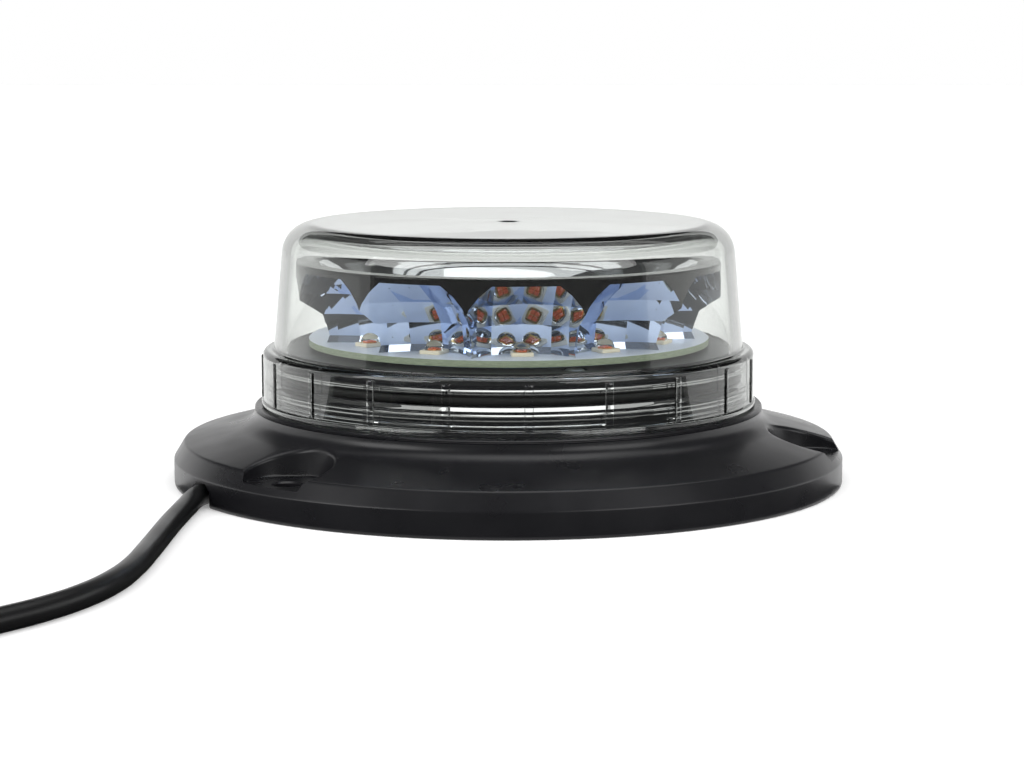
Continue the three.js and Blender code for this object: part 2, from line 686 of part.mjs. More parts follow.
function addScrew(name, head, length, x, y, up) {
  const drive = new THREE.CylinderGeometry(1.1, 1.1, SCREW_DRIVE_DEPTH * 2, 6).rotateX(Math.PI / 2);
  const outline = [
    [0, -length],
    [screwRadius, -length + 1],
    [screwRadius, 0],
    [SCREW_HEAD_DIAMETER / 2, 0],
    [SCREW_HEAD_DIAMETER / 2, SCREW_HEAD_HEIGHT * 0.55],
    [SCREW_HEAD_DIAMETER / 2 - 0.9, SCREW_HEAD_HEIGHT],
    [0, SCREW_HEAD_HEIGHT],
  ];
  const body = solid(turned(outline, TINY)).subtract(solid(drive.translate(0, 0, SCREW_HEAD_HEIGHT)));
  const geometry = geometryOf(body);
  if (!up) geometry.rotateX(Math.PI);
  addPiece(name, geometry, "steel").position.set(x, y, head);
}

function addScrews(name, places, head, length, up) {
  places.forEach(([x, y], i) => addScrew(`${name}_${i + 1}`, head, length, x, y, up));
}

// Lens

function domeWallRadius(height, inset) {
  return domeRadius - (height - collarTop) * DOME_DRAFT - inset;
}

function lensOutline() {
  const shoulderHeight = lensTop - DOME_SHOULDER_RADIUS;
  const shoulderCentre = domeWallRadius(shoulderHeight, DOME_SHOULDER_RADIUS);
  const innerShoulder = DOME_SHOULDER_RADIUS - DOME_WALL;
  const step = spigotTop + SLIDE_GAP * 2;
  const stepRadius = domeRadius - DOME_WALL;
  const boreFoot = sealHeight - SEAL_THICKNESS / 2 - 0.4;
  return [
    [lensBoreRadius, lensFoot],
    [collarRadius + COLLAR_FOOT_BEAD, lensFoot],
    [collarRadius + COLLAR_FOOT_BEAD, lensFoot + COLLAR_FOOT_BEAD_HEIGHT - 0.3],
    [collarRadius, lensFoot + COLLAR_FOOT_BEAD_HEIGHT],
    ...arc(collarRadius - COLLAR_TOP_RADIUS, collarTop - COLLAR_TOP_RADIUS, COLLAR_TOP_RADIUS, 0, 90, 3),
    [domeRadius + 0.6, collarTop],
    [domeWallRadius(collarTop + 0.7, 0), collarTop + 0.7],
    ...arc(shoulderCentre, shoulderHeight, DOME_SHOULDER_RADIUS, 0, 90, 5),
    [0, lensTop],
    [0, lensTop - DOME_WALL],
    ...arc(shoulderCentre, shoulderHeight, innerShoulder, 90, 0, 4),
    [stepRadius, step],
    [sealBoreRadius, step],
    [sealBoreRadius, boreFoot],
    [lensBoreRadius, boreFoot - (lensBoreRadius - sealBoreRadius)],
    [lensBoreRadius, lensFoot],
  ];
}

function makeLens() {
  let body = solid(turned(lensOutline()));
  for (const angle of ofCount(GRIP_COUNT, HEAD_ANGLE)) {
    const foot = lensFoot + GRIP_FOOT;
    const top = collarTop - COLLAR_TOP_RADIUS;
    const grip = block(GRIP_PROUD + 0.6, GRIP_WIDTH, foot, top, collarRadius + (GRIP_PROUD - 0.6) / 2, 0);
    body = body.add(solid(grip.rotateZ(radians(angle))));
  }
  for (const angle of ofCount(LUG_COUNT, FIRST_LUG_ANGLE)) {
    const foot = NECK_HEIGHT + LUG_ABOVE_SHOULDER;
    const [from, to] = [angle - LUG_ARC / 2, angle + LUG_ARC / 2];
    const outer = lensBoreRadius + COLLAR_WALL / 2;
    body = body.add(solid(ringSlice(lensLugRadius, outer, foot, foot + LUG_HEIGHT, from, to)));
  }
  return geometryOf(body);
}

// Reflector

// How far from the axis a scoop's mirror lies, at a sideways place and a height.
function scoopSurface(side, height) {
  return scoopVertex + ((height - scoopAxis) ** 2 + side ** 2) / (4 * SCOOP_FOCUS);
}

// The space in front of one scoop. Each facet between two columns and two rows is flat.
function scoopCutter() {
  const outer = FACET_WIDTH + SIDE_FACET_WIDTH;
  const columns = [-outer - 6, -outer, -FACET_WIDTH, 0, FACET_WIDTH, outer, outer + 6];
  const rows = Array.from({ length: FACET_ROWS }, (_, i) => scoopCeiling - ROW_HEIGHT * (FACET_ROWS - i));
  rows.unshift(boardTop - CUT_OVER);
  rows.push(scoopCeiling);
  const front = scoopSurface(outer + 6, scoopCeiling) + CUT_OVER;
  const points = [];
  for (const face of ["mirror", "front"]) {
    for (const height of rows) {
      for (const side of columns) {
        points.push(face === "mirror" ? scoopSurface(side, height) : front, side, height);
      }
    }
  }
  const [across, layer] = [columns.length, columns.length * rows.length];
  const corners = [];
  const quad = (a, b, c, d) => corners.push(a, b, c, a, c, d);
  for (let r = 0; r + 1 < rows.length; r += 1) {
    for (let c = 0; c + 1 < across; c += 1) {
      const a = r * across + c;
      quad(a, a + across, a + across + 1, a + 1);
      quad(layer + a, layer + a + 1, layer + a + across + 1, layer + a + across);
    }
    const [left, right] = [r * across, r * across + across - 1];
    quad(left, layer + left, layer + left + across, left + across);
    quad(right, right + across, layer + right + across, layer + right);
  }
  for (let c = 0; c + 1 < across; c += 1) {
    const top = (rows.length - 1) * across + c;
    quad(c, c + 1, layer + c + 1, layer + c);
    quad(top, layer + top, layer + top + 1, top + 1);
  }
  const geometry = new THREE.BufferGeometry();
  geometry.setAttribute("position", new THREE.Float32BufferAttribute(points, 3));
  geometry.setIndex(corners);
  return geometry;
}

// The open bowl on the upper side, which keeps the wall behind every scoop.
function bowlOutline() {
  const floor = boardTop + REFLECTOR_WALL;
  const heights = [0, 0.2, 0.4, 0.6, 0.8, 1].map((share) => floor + share * (reflectorTop - floor));
  const wall = heights.map((height) => {
    const lean = (height - scoopAxis) / (2 * SCOOP_FOCUS);
    const behind = REFLECTOR_WALL * Math.sqrt(1 + lean * lean);
    return [scoopSurface(0, Math.max(height, scoopAxis)) - behind, height];
  });
  const [rimRadius] = wall[wall.length - 1];
  return [[0, floor], ...wall, [rimRadius, reflectorTop + CUT_OVER], [0, reflectorTop + CUT_OVER]];
}

function makeReflector() {
  const outline = [
    [0, boardTop],
    [reflectorRadius, boardTop],
    [reflectorRadius, reflectorTop - LIP_CHAMFER],
    [reflectorRadius - LIP_CHAMFER, reflectorTop],
    [0, reflectorTop],
  ];
  let body = solid(turned(outline));
  for (const angle of ofCount(LED_COUNT, HEAD_ANGLE)) {
    body = body.subtract(solid(scoopCutter().rotateZ(radians(angle))));
  }
  body = body.subtract(solid(turned(bowlOutline(), MIDDLE)));
  return withHoles(body, reflectorPlaces, screwHoleRadius);
}

function ledGeometry() {
  const half = LED_BODY / 2;
  const base = block(LED_BODY, LED_BODY, 0, LED_BODY_HEIGHT);
  const dome = [[0, 0.2], [LED_DOME_RADIUS, 0.2], ...arc(0, LED_BODY_HEIGHT, LED_DOME_RADIUS, 0, 90, 3)];
  const corner = new THREE.CylinderGeometry(half * 1.28, half * 1.28, 4, 8, 1).rotateX(Math.PI / 2);
  const trimmed = solid(base).intersect(solid(corner.rotateZ(Math.PI / 8)));
  return geometryOf(trimmed.add(solid(turned(dome, TINY))));
}

// Plates, boards and cover

// The plate stands on the spigot's edge and takes the reflector's screws; its own heads lie sunk in it.
function makeHeatPlate() {
  const outline = [
    [0, plateFoot],
    [spigotBoreRadius - FIT_GAP, plateFoot],
    [spigotBoreRadius - FIT_GAP, spigotTop],
    [plateRadius, spigotTop],
    [plateRadius, plateTop],
    [0, plateTop],
  ];
  let body = solid(turned(outline));
  for (const [x, y] of platePlaces) {
    body = body.subtract(solid(post(headHoleRadius, plateHeadFoot, plateTop + CUT_OVER, x, y, TINY)));
  }
  body = solid(withHoles(body, [...platePlaces, ...reflectorPlaces], screwHoleRadius));
  return withHoles(body, pinPlaces, PIN_DIAMETER);
}

function makeDriverBoard() {
  let body = solid(disc(driverRadius, driverFoot, driverTop, MIDDLE));
  body = solid(withHoles(body, platePlaces, bossRadius + FIT_GAP));
  return withHoles(body, coverPlaces, screwHoleRadius);
}

// The gasket has an eye round each screw of the cover.
function makeCoverGasket() {
  const ring = [
    [CAVITY_RADIUS, coverTop],
    [coverSeatRadius, coverTop],
    [coverSeatRadius, ledgeHeight],
    [CAVITY_RADIUS, ledgeHeight],
  ];
  let body = solid(closedRing(ring, MIDDLE));
  for (const [x, y] of coverPlaces) {
    body = body.add(solid(post(bossRadius, coverTop, ledgeHeight, x, y, TINY)));
  }
  return withHoles(body, coverPlaces, screwHoleRadius);
}

function makeCover() {
  const recess = coverSeatRadius - COVER_RECESS_RIM;
  const outline = [
    [0, coverFace],
    [recess - 1, coverFace],
    [recess, COVER_ABOVE_FLOOR],
    [coverSeatRadius, COVER_ABOVE_FLOOR],
    [coverSeatRadius, coverTop],
    [0, coverTop],
  ];
  let body = solid(turned(outline, MIDDLE));
  for (const [x, y] of coverPlaces) {
    body = body.subtract(solid(post(headHoleRadius, 0, coverFace, x, y, TINY)));
  }
  body = solid(withHoles(body, coverPlaces, screwHoleRadius));
  return withHoles(body, [[0, VENT_OFFSET]], VENT_STEM_RADIUS + FIT_GAP);
}

function makeVent() {
  const outline = [
    [0, coverFace - VENT_HEIGHT],
    [VENT_RADIUS - 0.5, coverFace - VENT_HEIGHT],
    [VENT_RADIUS, coverFace - VENT_HEIGHT + 0.5],
    [VENT_RADIUS, coverFace],
    [VENT_STEM_RADIUS, coverFace],
    [VENT_STEM_RADIUS, coverTop + 0.6],
    [0, coverTop + 0.6],
  ];
  return turned(outline, SMALL).translate(0, VENT_OFFSET, 0);
}

// Assembly

addPiece("base_housing", geometryOf(makeHousing()), "housing");
addPiece("spigot", makeSpigot(), "housing");

const sealSection = arc(sealMiddleRadius, sealHeight, SEAL_THICKNESS / 2, 0, 300, 5);
addPiece("lens_seal", welded(closedRing(sealSection)), "rubber");
addPiece("lens", makeLens(), "clear");

addPiece("heat_plate", makeHeatPlate(), "metal");
addScrews("plate_screw", platePlaces, plateHeadFoot, PLATE_SCREW_LENGTH, true);
const pad = solid(disc(PAD_DIAMETER / 2, plateTop, boardFoot, MIDDLE));
addPiece("thermal_pad", withHoles(pad, [...reflectorPlaces, ...pinPlaces], screwHoleRadius), "pad");
const board = solid(disc(BOARD_DIAMETER / 2, boardFoot, boardTop));
addPiece("led_board", withHoles(board, reflectorPlaces, screwHoleRadius), "board");
addPiece("reflector", makeReflector(), "mirror");
addScrews("reflector_screw", reflectorPlaces, boardTop + REFLECTOR_WALL, REFLECTOR_SCREW_LENGTH, true);

ofCount(LED_COUNT, HEAD_ANGLE).forEach((angle, i) => {
  const place = new THREE.Group();
  place.rotation.z = radians(angle);
  const led = addPiece(`led_${String(i + 1).padStart(2, "0")}`, ledGeometry(), "led", place);
  led.position.set(LED_CIRCLE_RADIUS, 0, boardTop);
  beacon.add(place);
});

addPiece("driver_board", makeDriverBoard(), "driver");
addScrews("driver_screw", coverPlaces, driverTop, DRIVER_SCREW_LENGTH, true);
pinPlaces.forEach(([x, y], i) => {
  const pin = post(PIN_DIAMETER / 2, driverTop, boardFoot, x, y, TINY);
  addPiece(`supply_pin_${i + 1}`, welded(pin), "steel");
});

const inductor = [
  [0, -COIL_CORE_HEIGHT],
  [COIL_CORE_RADIUS, -COIL_CORE_HEIGHT],
  [COIL_CORE_RADIUS, -COIL_CORE_HEIGHT + 1.4],
  [COIL_CORE_RADIUS - 1, -COIL_CORE_HEIGHT + 2],
  [COIL_CORE_RADIUS - 1, -2],
  [COIL_CORE_RADIUS, -1.4],
  [COIL_CORE_RADIUS, 0],
  [0, 0],
];
addPiece("inductor", welded(turned(inductor, SMALL).translate(...INDUCTOR_PLACE, driverFoot)), "ferrite");
CAPACITOR_PLACES.forEach(([x, y], i) => {
  const can = [
    [0, -CAPACITOR_HEIGHT],
    [CAPACITOR_RADIUS - 0.4, -CAPACITOR_HEIGHT],
    [CAPACITOR_RADIUS, -CAPACITOR_HEIGHT + 0.4],
    [CAPACITOR_RADIUS, 0],
    [0, 0],
  ];
  addPiece(`capacitor_${i + 1}`, welded(turned(can, SMALL).translate(x, y, driverFoot)), "can");
});
const chip = block(CHIP_WIDTH, CHIP_WIDTH, driverFoot - CHIP_HEIGHT, driverFoot, ...CONTROLLER_PLACE);
addPiece("controller", welded(chip), "chip");

const terminalFoot = GLAND_HEIGHT - CORE_SPACING - CORE_DIAMETER / 2;
const jacketEnd = CAVITY_RADIUS - INNER_JACKET_REACH;
const terminalFace = jacketEnd - SLIDE_GAP * 2 - CORE_LENGTH;
const terminalMiddle = terminalFace - TERMINAL_WIDTH / 2;
const terminal = block(TERMINAL_WIDTH, TERMINAL_LENGTH, terminalFoot, driverFoot, terminalMiddle, 0);
addPiece("terminal_block", welded(terminal.rotateZ(radians(GLAND_ANGLE))), "terminal");

addPiece("bottom_cover", makeCover(), "cover");
addPiece("cover_gasket", makeCoverGasket(), "rubber");
addPiece("vent_plug", welded(makeVent()), "rubber");
addScrews("cover_screw", coverPlaces, coverFace, COVER_SCREW_LENGTH, false);

addPiece("cable_gland", welded(makeGland()), "rubber");
const jacket = radialBar(cableRadius, jacketEnd, glandTip, GLAND_ANGLE, GLAND_HEIGHT, SMALL);
addPiece("cable_inner", welded(jacket), "cable");
["red", "black", "yellow"].forEach((colour, i) => {
  const from = terminalFace + SLIDE_GAP;
  const to = jacketEnd - SLIDE_GAP;
  const side = (i - 1) * CORE_SPACING;
  const core = radialBar(CORE_DIAMETER / 2, from, to, GLAND_ANGLE, GLAND_HEIGHT, TINY, side);
  addPiece(`inner_core_${colour}`, welded(core), colour);
});

addPiece("cable", welded(tube(cableCurve(), cableRadius, 26, CABLE_SIDES)), "cable");
const coilSteps = COIL_LOOPS * LOOP_STEPS + 2;
const coilTube = tube(coil, cableRadius, coilSteps, LOOP_SIDES);
addPiece("cable_coil", welded(coilTube), "cable");
["red", "black", "yellow"].forEach((colour, i) => {
  const core = tube(freeCoreCurve(i - 1), CORE_DIAMETER / 2, 10, CABLE_SIDES);
  addPiece(`free_core_${colour}`, welded(core), colour);
});
console.log(`least gap of the coil to itself: ${coilGap().toFixed(2)} mm`);

export default beacon;
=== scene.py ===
"""Looks of a low-profile LED warning beacon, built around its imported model."""

import math

import bmesh
import bpy
from mathutils import Matrix, Vector


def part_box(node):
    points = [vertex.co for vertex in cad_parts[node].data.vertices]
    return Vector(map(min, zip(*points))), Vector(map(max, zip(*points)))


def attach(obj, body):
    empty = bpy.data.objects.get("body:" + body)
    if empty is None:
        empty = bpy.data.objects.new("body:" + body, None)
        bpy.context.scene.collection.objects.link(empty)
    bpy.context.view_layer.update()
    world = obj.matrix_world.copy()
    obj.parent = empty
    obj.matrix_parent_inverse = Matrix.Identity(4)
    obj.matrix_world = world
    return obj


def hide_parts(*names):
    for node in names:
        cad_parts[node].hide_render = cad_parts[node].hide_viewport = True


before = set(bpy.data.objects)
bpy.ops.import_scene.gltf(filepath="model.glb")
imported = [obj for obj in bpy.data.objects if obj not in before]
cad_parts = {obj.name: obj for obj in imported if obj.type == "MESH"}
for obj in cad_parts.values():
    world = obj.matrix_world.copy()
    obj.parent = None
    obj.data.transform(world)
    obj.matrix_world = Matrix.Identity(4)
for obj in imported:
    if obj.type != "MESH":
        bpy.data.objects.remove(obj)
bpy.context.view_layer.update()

bl_info = {
    "name": "LED warning beacon",
    "version": (1, 0, 0),
    "blender": (4, 5, 0),
    "location": "View3D > Sidebar > Beacon",
    "description": "Builds the looks of a three-bolt LED warning beacon",
    "category": "Object",
}

MM = 0.001

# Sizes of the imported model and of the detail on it, in millimetres and degrees.
CUT_OVER = 1  # how far a cutter runs past the face it opens
OFF_FACE = 0.02  # keeps a joined body's faces off the ones they lie on

# Base housing
FLANGE_RADIUS = 81
RIM_HEIGHT = 6.3
DECK_EDGE = (78.5, 10.4)  # radius and height
DECK_SLOPE = 0.26  # rise per millimetre of deck
NECK_RADIUS = 61.5
NECK_DRAFT = 0.3
NECK_FILLET = 4.2
NECK_BEADS = ((0.22, 17.98), (0.02, 18.1), (0.22, 18.3), (0.05, 18.42))  # inset and height
SHOULDER = 18.8
WALL = 2.8
CAVITY_RADIUS = 42
CAVITY_OUTER = 47
LEDGE = 4.8
WEB_THICKNESS = 2.6
BOLT_CIRCLE = 74
BOLT_ANGLES = (-132, -12, 108)
BOLT_HOLE = 3.25
WELL_RADIUS = 10.5
WELL_FLOOR = 7.9
WELL_CORNER = 0.6  # rounding of the well's foot
WELL_LIP = 0.9  # rounding of the well's edge
WELL_WALL = 2.6
NOTCH_HALF = 3.3
NOTCH_TOP = 5.5
NOTCH_CORNER = 1.6

# Bottom cover and vent
COVER_SEAT = 44
COVER_FOOT = 1.4
COVER_FACE = 2.2
COVER_TOP = 3.8
COVER_RECESS_RIM = 3
HEAD_SEAT = 3.1
VENT_OFFSET = 14
VENT_RADIUS = 5
VENT_STEM = 3
PORE_CIRCLE = 2.2
PORE_RADIUS = 0.45

# Spigot, its keepers and the seal
SPIGOT_RADIUS = 56.3
SPIGOT_BORE = 50.95
SPIGOT_TOP = 30
SPIGOT_RIDGES = (19.6, 20.9, 24.7)
RIDGE_RADIUS = 0.18
GROOVE_FLOOR = 54.35
GROOVE_HALF = 1.15
BOSS_TOP = SPIGOT_TOP - 1.2
BOSS_HOLE_FOOT = 22.8
KEEPER_RING = (55.8, 57.3)
KEEPER_FOOT = SHOULDER + 3.9
KEEPER_TOP = KEEPER_FOOT + 1.6
KEEPER_HALF = 11
STOP_ANGLE = 8.5  # from the middle of a keeper back to its stop
STOP_ARC = 2.4
SEAL_HEIGHT = 26.9
SEAL_MIDDLE = 55.5
SEAL_RADIUS = 1.0

# Lens
COLLAR_RADIUS = 59.4
COLLAR_FOOT = 19.1
COLLAR_TOP = 32.3
COLLAR_CORNER = 1.4
# The collar's foot bead and the lower ends of its ribs: out from the collar, up from its foot, and
# how far the rib stands out there, in shares of a whole one.
COLLAR_BEAD = (
    (0.25, 0, 0),
    (0.4, 0.15, 0),
    (0.4, 0.75, 0),
    (0.25, 1.05, 0),
    (0, 1.2, 0),
    (0, 1.25, 0),
    (0, 1.4, 0.7),
    (0, 1.7, 1),
)
LENS_BORE = 57.6
SEAL_BORE = 56.8
# Fine grooves in the two bores. Their 45 degree sides turn the light back as thin white lines.
SEAL_BORE_GROOVES = ((29.2, 0.3), (28.5, 0.18))  # height and depth
LENS_BORE_GROOVES = ((23.7, 0.3), (22.6, 0.18), (21.3, 0.24), (20.3, 0.18))
DOME_RADIUS = 56.7
DOME_DRAFT = 0.089  # how much the radius shrinks per millimetre of height
DOME_FOOT = 0.6  # rounding between the collar's top and the dome
DOME_SHOULDER = 7.5
DOME_WALL = 2.4
LENS_TOP = 62.5
GATE_MARK = ((3.3, 0), (2.9, 0), (2.5, 0.08), (1.6, 0.3), (0, 0.3))  # radius and depth
GRIP_COUNT = 20
GRIP_HALF = 1.0
HEAD_ANGLE = -85.5  # a rib, an LED and a scoop lie in this direction
LUG_ANGLES = (-60, 60, 180)
LUG_RING = (56.9, 58.5)
LUG_FOOT = 20.4
LUG_HEIGHT = 2
LUG_HALF = 8

# LED board, LEDs and reflector
BOARD_FOOT = 33.4
BOARD_TOP = 34.9
BOARD_RADIUS = 48.3
LED_COUNT = 12
LED_CIRCLE = 39
REFLECTOR_RADIUS = 51.3
REFLECTOR_TOP = 53.6
REFLECTOR_WALL = 1.5
REFLECTOR_LIP = 0.4
SCOOP_CEILING = REFLECTOR_TOP - 1.6
SCOOP_FOCUS = 4.2
SCOOP_VERTEX = 34.7
SCOOP_AXIS = 37.5
FACET_COLUMNS = (-16.4, -10.4, -6.8, 0, 6.8, 10.4, 16.4)
FACET_HEIGHT = 5.15
BOWL_STEPS = 24

# Screws
SCREW_RADIUS = 1.5
SCREW_CORE = 1.25  # at the foot of the thread
SCREW_TIP = 0.9
THREAD_PITCH = 0.5
HEAD_RADIUS = 2.8
HEAD_HEIGHT = 1.6
HEAD_CROWN = 1.9  # radius of the flat on the head
DRIVE_RADIUS = 1.1
SCREW_HOLE = 1.8
BOSS_RADIUS = 3.8
# Length under the head of each kind, and 1 where its head is up or -1 where it is down.
SCREWS = {
    "reflector_screw": (7, 1),
    "driver_screw": (6, 1),
    "cover_screw": (8, -1),
    "plate_screw": (8, 1),
}

# Gland, cable and cores
GLAND_ANGLE = 200
GLAND_HEIGHT = 8.8
GLAND_HOLE = 3.9
GLAND_TIP = 51.9
CABLE_RADIUS = 2.5
CABLE_FLOOR = 2.6
JACKET_END = 36
CORE_RADIUS = 0.75
CORE_SPACING = 1.7
INNER_CORE = (29.7, 35.7)  # from the terminal block to the jacket
STRAND_RADIUS = 0.5
STRAND_LENGTH = 1.2
FREE_CORE_LENGTH = 34
FREE_CORE_FAN = 0.5  # how much wider the free cores lie at their ends
FREE_CORE_DRIFT = 1.3  # how far they drift outwards from the coil
FREE_CORE_SINK = 2.1  # down from the coil's upper layer onto the lower one

# The way of the cable from the gland to its coil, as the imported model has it.
CABLE_ROUTE = [
    (-49.1, -17.9, 8.8),
    (-50.0, -18.2, 8.8),
    (-52.7, -19.4, 8.55),
    (-56.2, -21.4, 7.75),
    (-59.5, -23.7, 6.4),
    (-62.4, -26.4, 4.8),
    (-65.1, -29.4, 3.5),
    (-67.4, -32.6, 2.8),
    (-69.4, -36.1, CABLE_FLOOR),
    (-71.1, -40.4, CABLE_FLOOR),
    (-71.9, -46.0, CABLE_FLOOR),
    (-72.3, -53.0, CABLE_FLOOR),
    (-72.9, -63.0, CABLE_FLOOR),
    (-73.5, -75.0, CABLE_FLOOR),
    (-74.0, -90.0, CABLE_FLOOR),
    (-74.5, -105.0, CABLE_FLOOR),
    (-75.2, -119.0, CABLE_FLOOR),
    (-77.0, -133.0, CABLE_FLOOR),
    (-81.0, -147.0, CABLE_FLOOR),
    (-87.4, -160.0, CABLE_FLOOR),
    (-95.7, -172.0, CABLE_FLOOR),
]
COIL_CENTRE = (-136, -170)
COIL_RADIUS = 33.4
COIL_PITCH = 5.6
COIL_LOOPS = 4
COIL_START = -45
COIL_LEAD_IN = (15.3, 10.3, 5.3)  # straight on towards the coil, before its first point
TAPE_PLACE = 0.5  # in turns from the coil's start
TAPE_STEP = 0.006
TAPE_FACES = (0.04, 0.09)  # inner and outer face, out from the jacket

# The stage. The camera's place is in metres and its dip in degrees. Each lamp has its name, place,
# size and watts, also in metres.
CAMERA_PLACE = (0.000872, -0.668347, 0.116444)
CAMERA_DIP = 7.968
FOCAL_LENGTH = 97.51
LAMPS = (
    ("soft_box_top", (0.1, -0.15, 0.95), (0.8, 0.6), 1.3),
    ("soft_box_left", (-0.82, -0.57, 0.45), (0.75, 0.5), 3.6),
    ("soft_box_right", (0.7, -0.68, 0.42), (0.75, 0.5), 2.8),
)
LAMP_TARGET = (0, 0, 0.03)
WHITE = (1, 1, 1, 1)
ROOM_STRENGTH = 0.5  # of the world and the floor in the edge of the glass
FLOOR_GREY = 0.8
FLOOR_GLOW = 0.22
FLOOR_HALF = 3000  # half its width, in millimetres
CARD_HEIGHT = 960  # of the cards over the beacon, in millimetres
CARD_SWEEP_FAR = range(-160, -19, 5)  # directions of the card behind the camera
CARD_SWEEP_LOW = range(-170, -9, 5)  # and of the low one in front of the beacon

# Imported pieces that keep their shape, and the finish that each gets.
KEPT_NODES = {
    "heat_plate": "plate",
    "thermal_pad": "pad",
    "driver_board": "green_mask",
    "inductor": "ferrite",
    "capacitor_1": "can",
    "capacitor_2": "can",
    "controller": "epoxy",
    "terminal_block": "terminal",
    "supply_pin_1": "zinc",
    "supply_pin_2": "zinc",
}


# Settings.


class BeaconSizes(bpy.types.PropertyGroup):
    """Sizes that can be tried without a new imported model."""

    cable_length: bpy.props.FloatProperty(
        name="Cable length",
        description="Length of the jacket outside the gland",
        default=0.904,
        min=0.1,
        unit="LENGTH",
    )
    grain: bpy.props.FloatProperty(
        name="Moulded grain",
        description="Distance between the grains of the black nylon",
        default=0.00045,
        min=0.0001,
        unit="LENGTH",
    )
    grip_proud: bpy.props.FloatProperty(
        name="Grip rib",
        description="How far a rib stands out of the lens collar",
        default=0.0004,
        min=0.0,
        max=0.0004,
        unit="LENGTH",
    )
    coil_steps: bpy.props.IntProperty(
        name="Points in a turn",
        description="Points of the cable in each turn of its coil",
        default=16,
        min=12,
    )


def colour(name, description, code):
    """A colour setting whose default is a hex code."""
    return bpy.props.FloatVectorProperty(
        name=name,
        description=description,
        default=srgb(code),
        size=4,
        min=0.0,
        max=1.0,
        subtype="COLOR",
    )


def srgb(code):
    """The linear values of a colour that is written as a hex code."""
    parts = [int(code[i : i + 2], 16) / 255 for i in (0, 2, 4)]
    linear = [p / 12.92 if p <= 0.04045 else ((p + 0.055) / 1.055) ** 2.4 for p in parts]
    return (*linear, 1.0)


class BeaconColours(bpy.types.PropertyGroup):
    """Colours of the beacon's finishes."""

    nylon: colour("Nylon", "Black of the base and its cover", "18181b")
    rubber: colour("Rubber", "Black of the seals and the gland", "161616")
    jacket: colour("Jacket", "Black of the cable", "131314")
    mirror: colour("Mirror", "Metallised faces of the reflector", "d6e3fb")
    # The bowl's paler colour is a painted reflection of the white room; its metal is the scoops'.
    bowl_mirror_painted_pale: colour("Mirror top", "Metallised bowl over the scoops", "e6e8ec")
    bare: colour("Bare edge", "Outer edge of the reflector, not metallised", "0a0a0b")
    package: colour("LED body", "Ceramic body of each LED", "e9dfc8")
    die: colour("LED die", "Chip of each LED, not lit", "ef7446")
    mask: colour("Board face", "Solder mask of the LED board", "ebf2fe")
    laminate: colour("Board edge", "Cut edge of the LED board", "8f9a84")
    zinc: colour("Screws", "Zinc plated steel", "b9bcc0")
    plate: colour("Heat plate", "Black anodised aluminium", "19191b")


# Materials.


def add_node(tree, kind, settings=None, sockets=None):
    """Adds a node, sets its properties, and fills its sockets with values or links."""
    node = tree.nodes.new(kind)
    for name, value in (settings or {}).items():
        setattr(node, name, value)
    for name, value in (sockets or {}).items():
        if isinstance(value, bpy.types.NodeSocket):
            tree.links.new(value, node.inputs[name])
        else:
            node.inputs[name].default_value = value
    return node


def new_material(name):
    """An empty material and its node tree."""
    material = bpy.data.materials.new(name)
    material.use_nodes = True
    material.node_tree.nodes.clear()
    return material, material.node_tree


def lumps(tree, size, detail=2.0, stretch=(1, 1, 1)):
    """A pattern from 0 to 1 of lumps about size millimetres across, longer where stretched."""
    coordinates = add_node(tree, "ShaderNodeTexCoord").outputs["Object"]
    scale = [1 / MM / s for s in stretch]
    settings = {"operation": "MULTIPLY"}
    place = add_node(tree, "ShaderNodeVectorMath", settings, {0: coordinates, 1: scale}).outputs[0]
    sockets = {"Vector": place, "Scale": 1 / size, "Detail": detail}
    return add_node(tree, "ShaderNodeTexNoise", {}, sockets).outputs["Fac"]


def between(value, low, high):
    """Sockets of a map range node that stretch the middle of a pattern between two values."""
    return {"Value": value, "From Min": 0.3, "From Max": 0.7, "To Min": low, "To Max": high}


def shaded(tree, value, base, change):
    """A colour that turns a little darker and lighter with a pattern."""
    share = add_node(tree, "ShaderNodeMapRange", {}, between(value, 0, 1)).outputs["Result"]
    dark = tuple(c * (1 - change) for c in base[:3]) + (1,)
    light = tuple(min(1, c * (1 + change)) for c in base[:3]) + (1,)
    sockets = {0: share, 6: dark, 7: light}
    return add_node(tree, "ShaderNodeMix", {"data_type": "RGBA"}, sockets).outputs[2]


def close_opaque(tree, pattern, roughness, relief, sockets):
    """Ends a material whose roughness follows a pattern and whose relief is a bump's sockets."""
    rough = add_node(tree, "ShaderNodeMapRange", {}, between(pattern, *roughness))
    bump = add_node(tree, "ShaderNodeBump", {}, relief)
    sockets = {"Roughness": rough.outputs["Result"], "Normal": bump.outputs["Normal"], **sockets}
    shader = add_node(tree, "ShaderNodeBsdfPrincipled", {}, sockets)
    add_node(tree, "ShaderNodeOutputMaterial", {}, {"Surface": shader.outputs[0]})


def moulded(name, base, roughness, grain, depth, specular=0.3, change=0.12):
    """A moulded or extruded plastic or rubber. Its grain's size and depth are in millimetres."""
    material, tree = new_material(name)
    # Flow and sink marks change the gloss and the height over about 14 mm.
    broad = lumps(tree, 14, 3)
    waves = {"Height": broad, "Distance": 0.02 * MM, "Strength": 0.25}
    wavy = add_node(tree, "ShaderNodeBump", {}, waves)
    relief = {"Height": lumps(tree, grain, 2), "Distance": depth * MM, "Strength": 0.6}
    relief["Normal"] = wavy.outputs["Normal"]
    sockets = {"Base Color": shaded(tree, broad, base, change), "Specular IOR Level": specular}
    close_opaque(tree, broad, (roughness - 0.04, roughness + 0.04), relief, sockets)
    return material


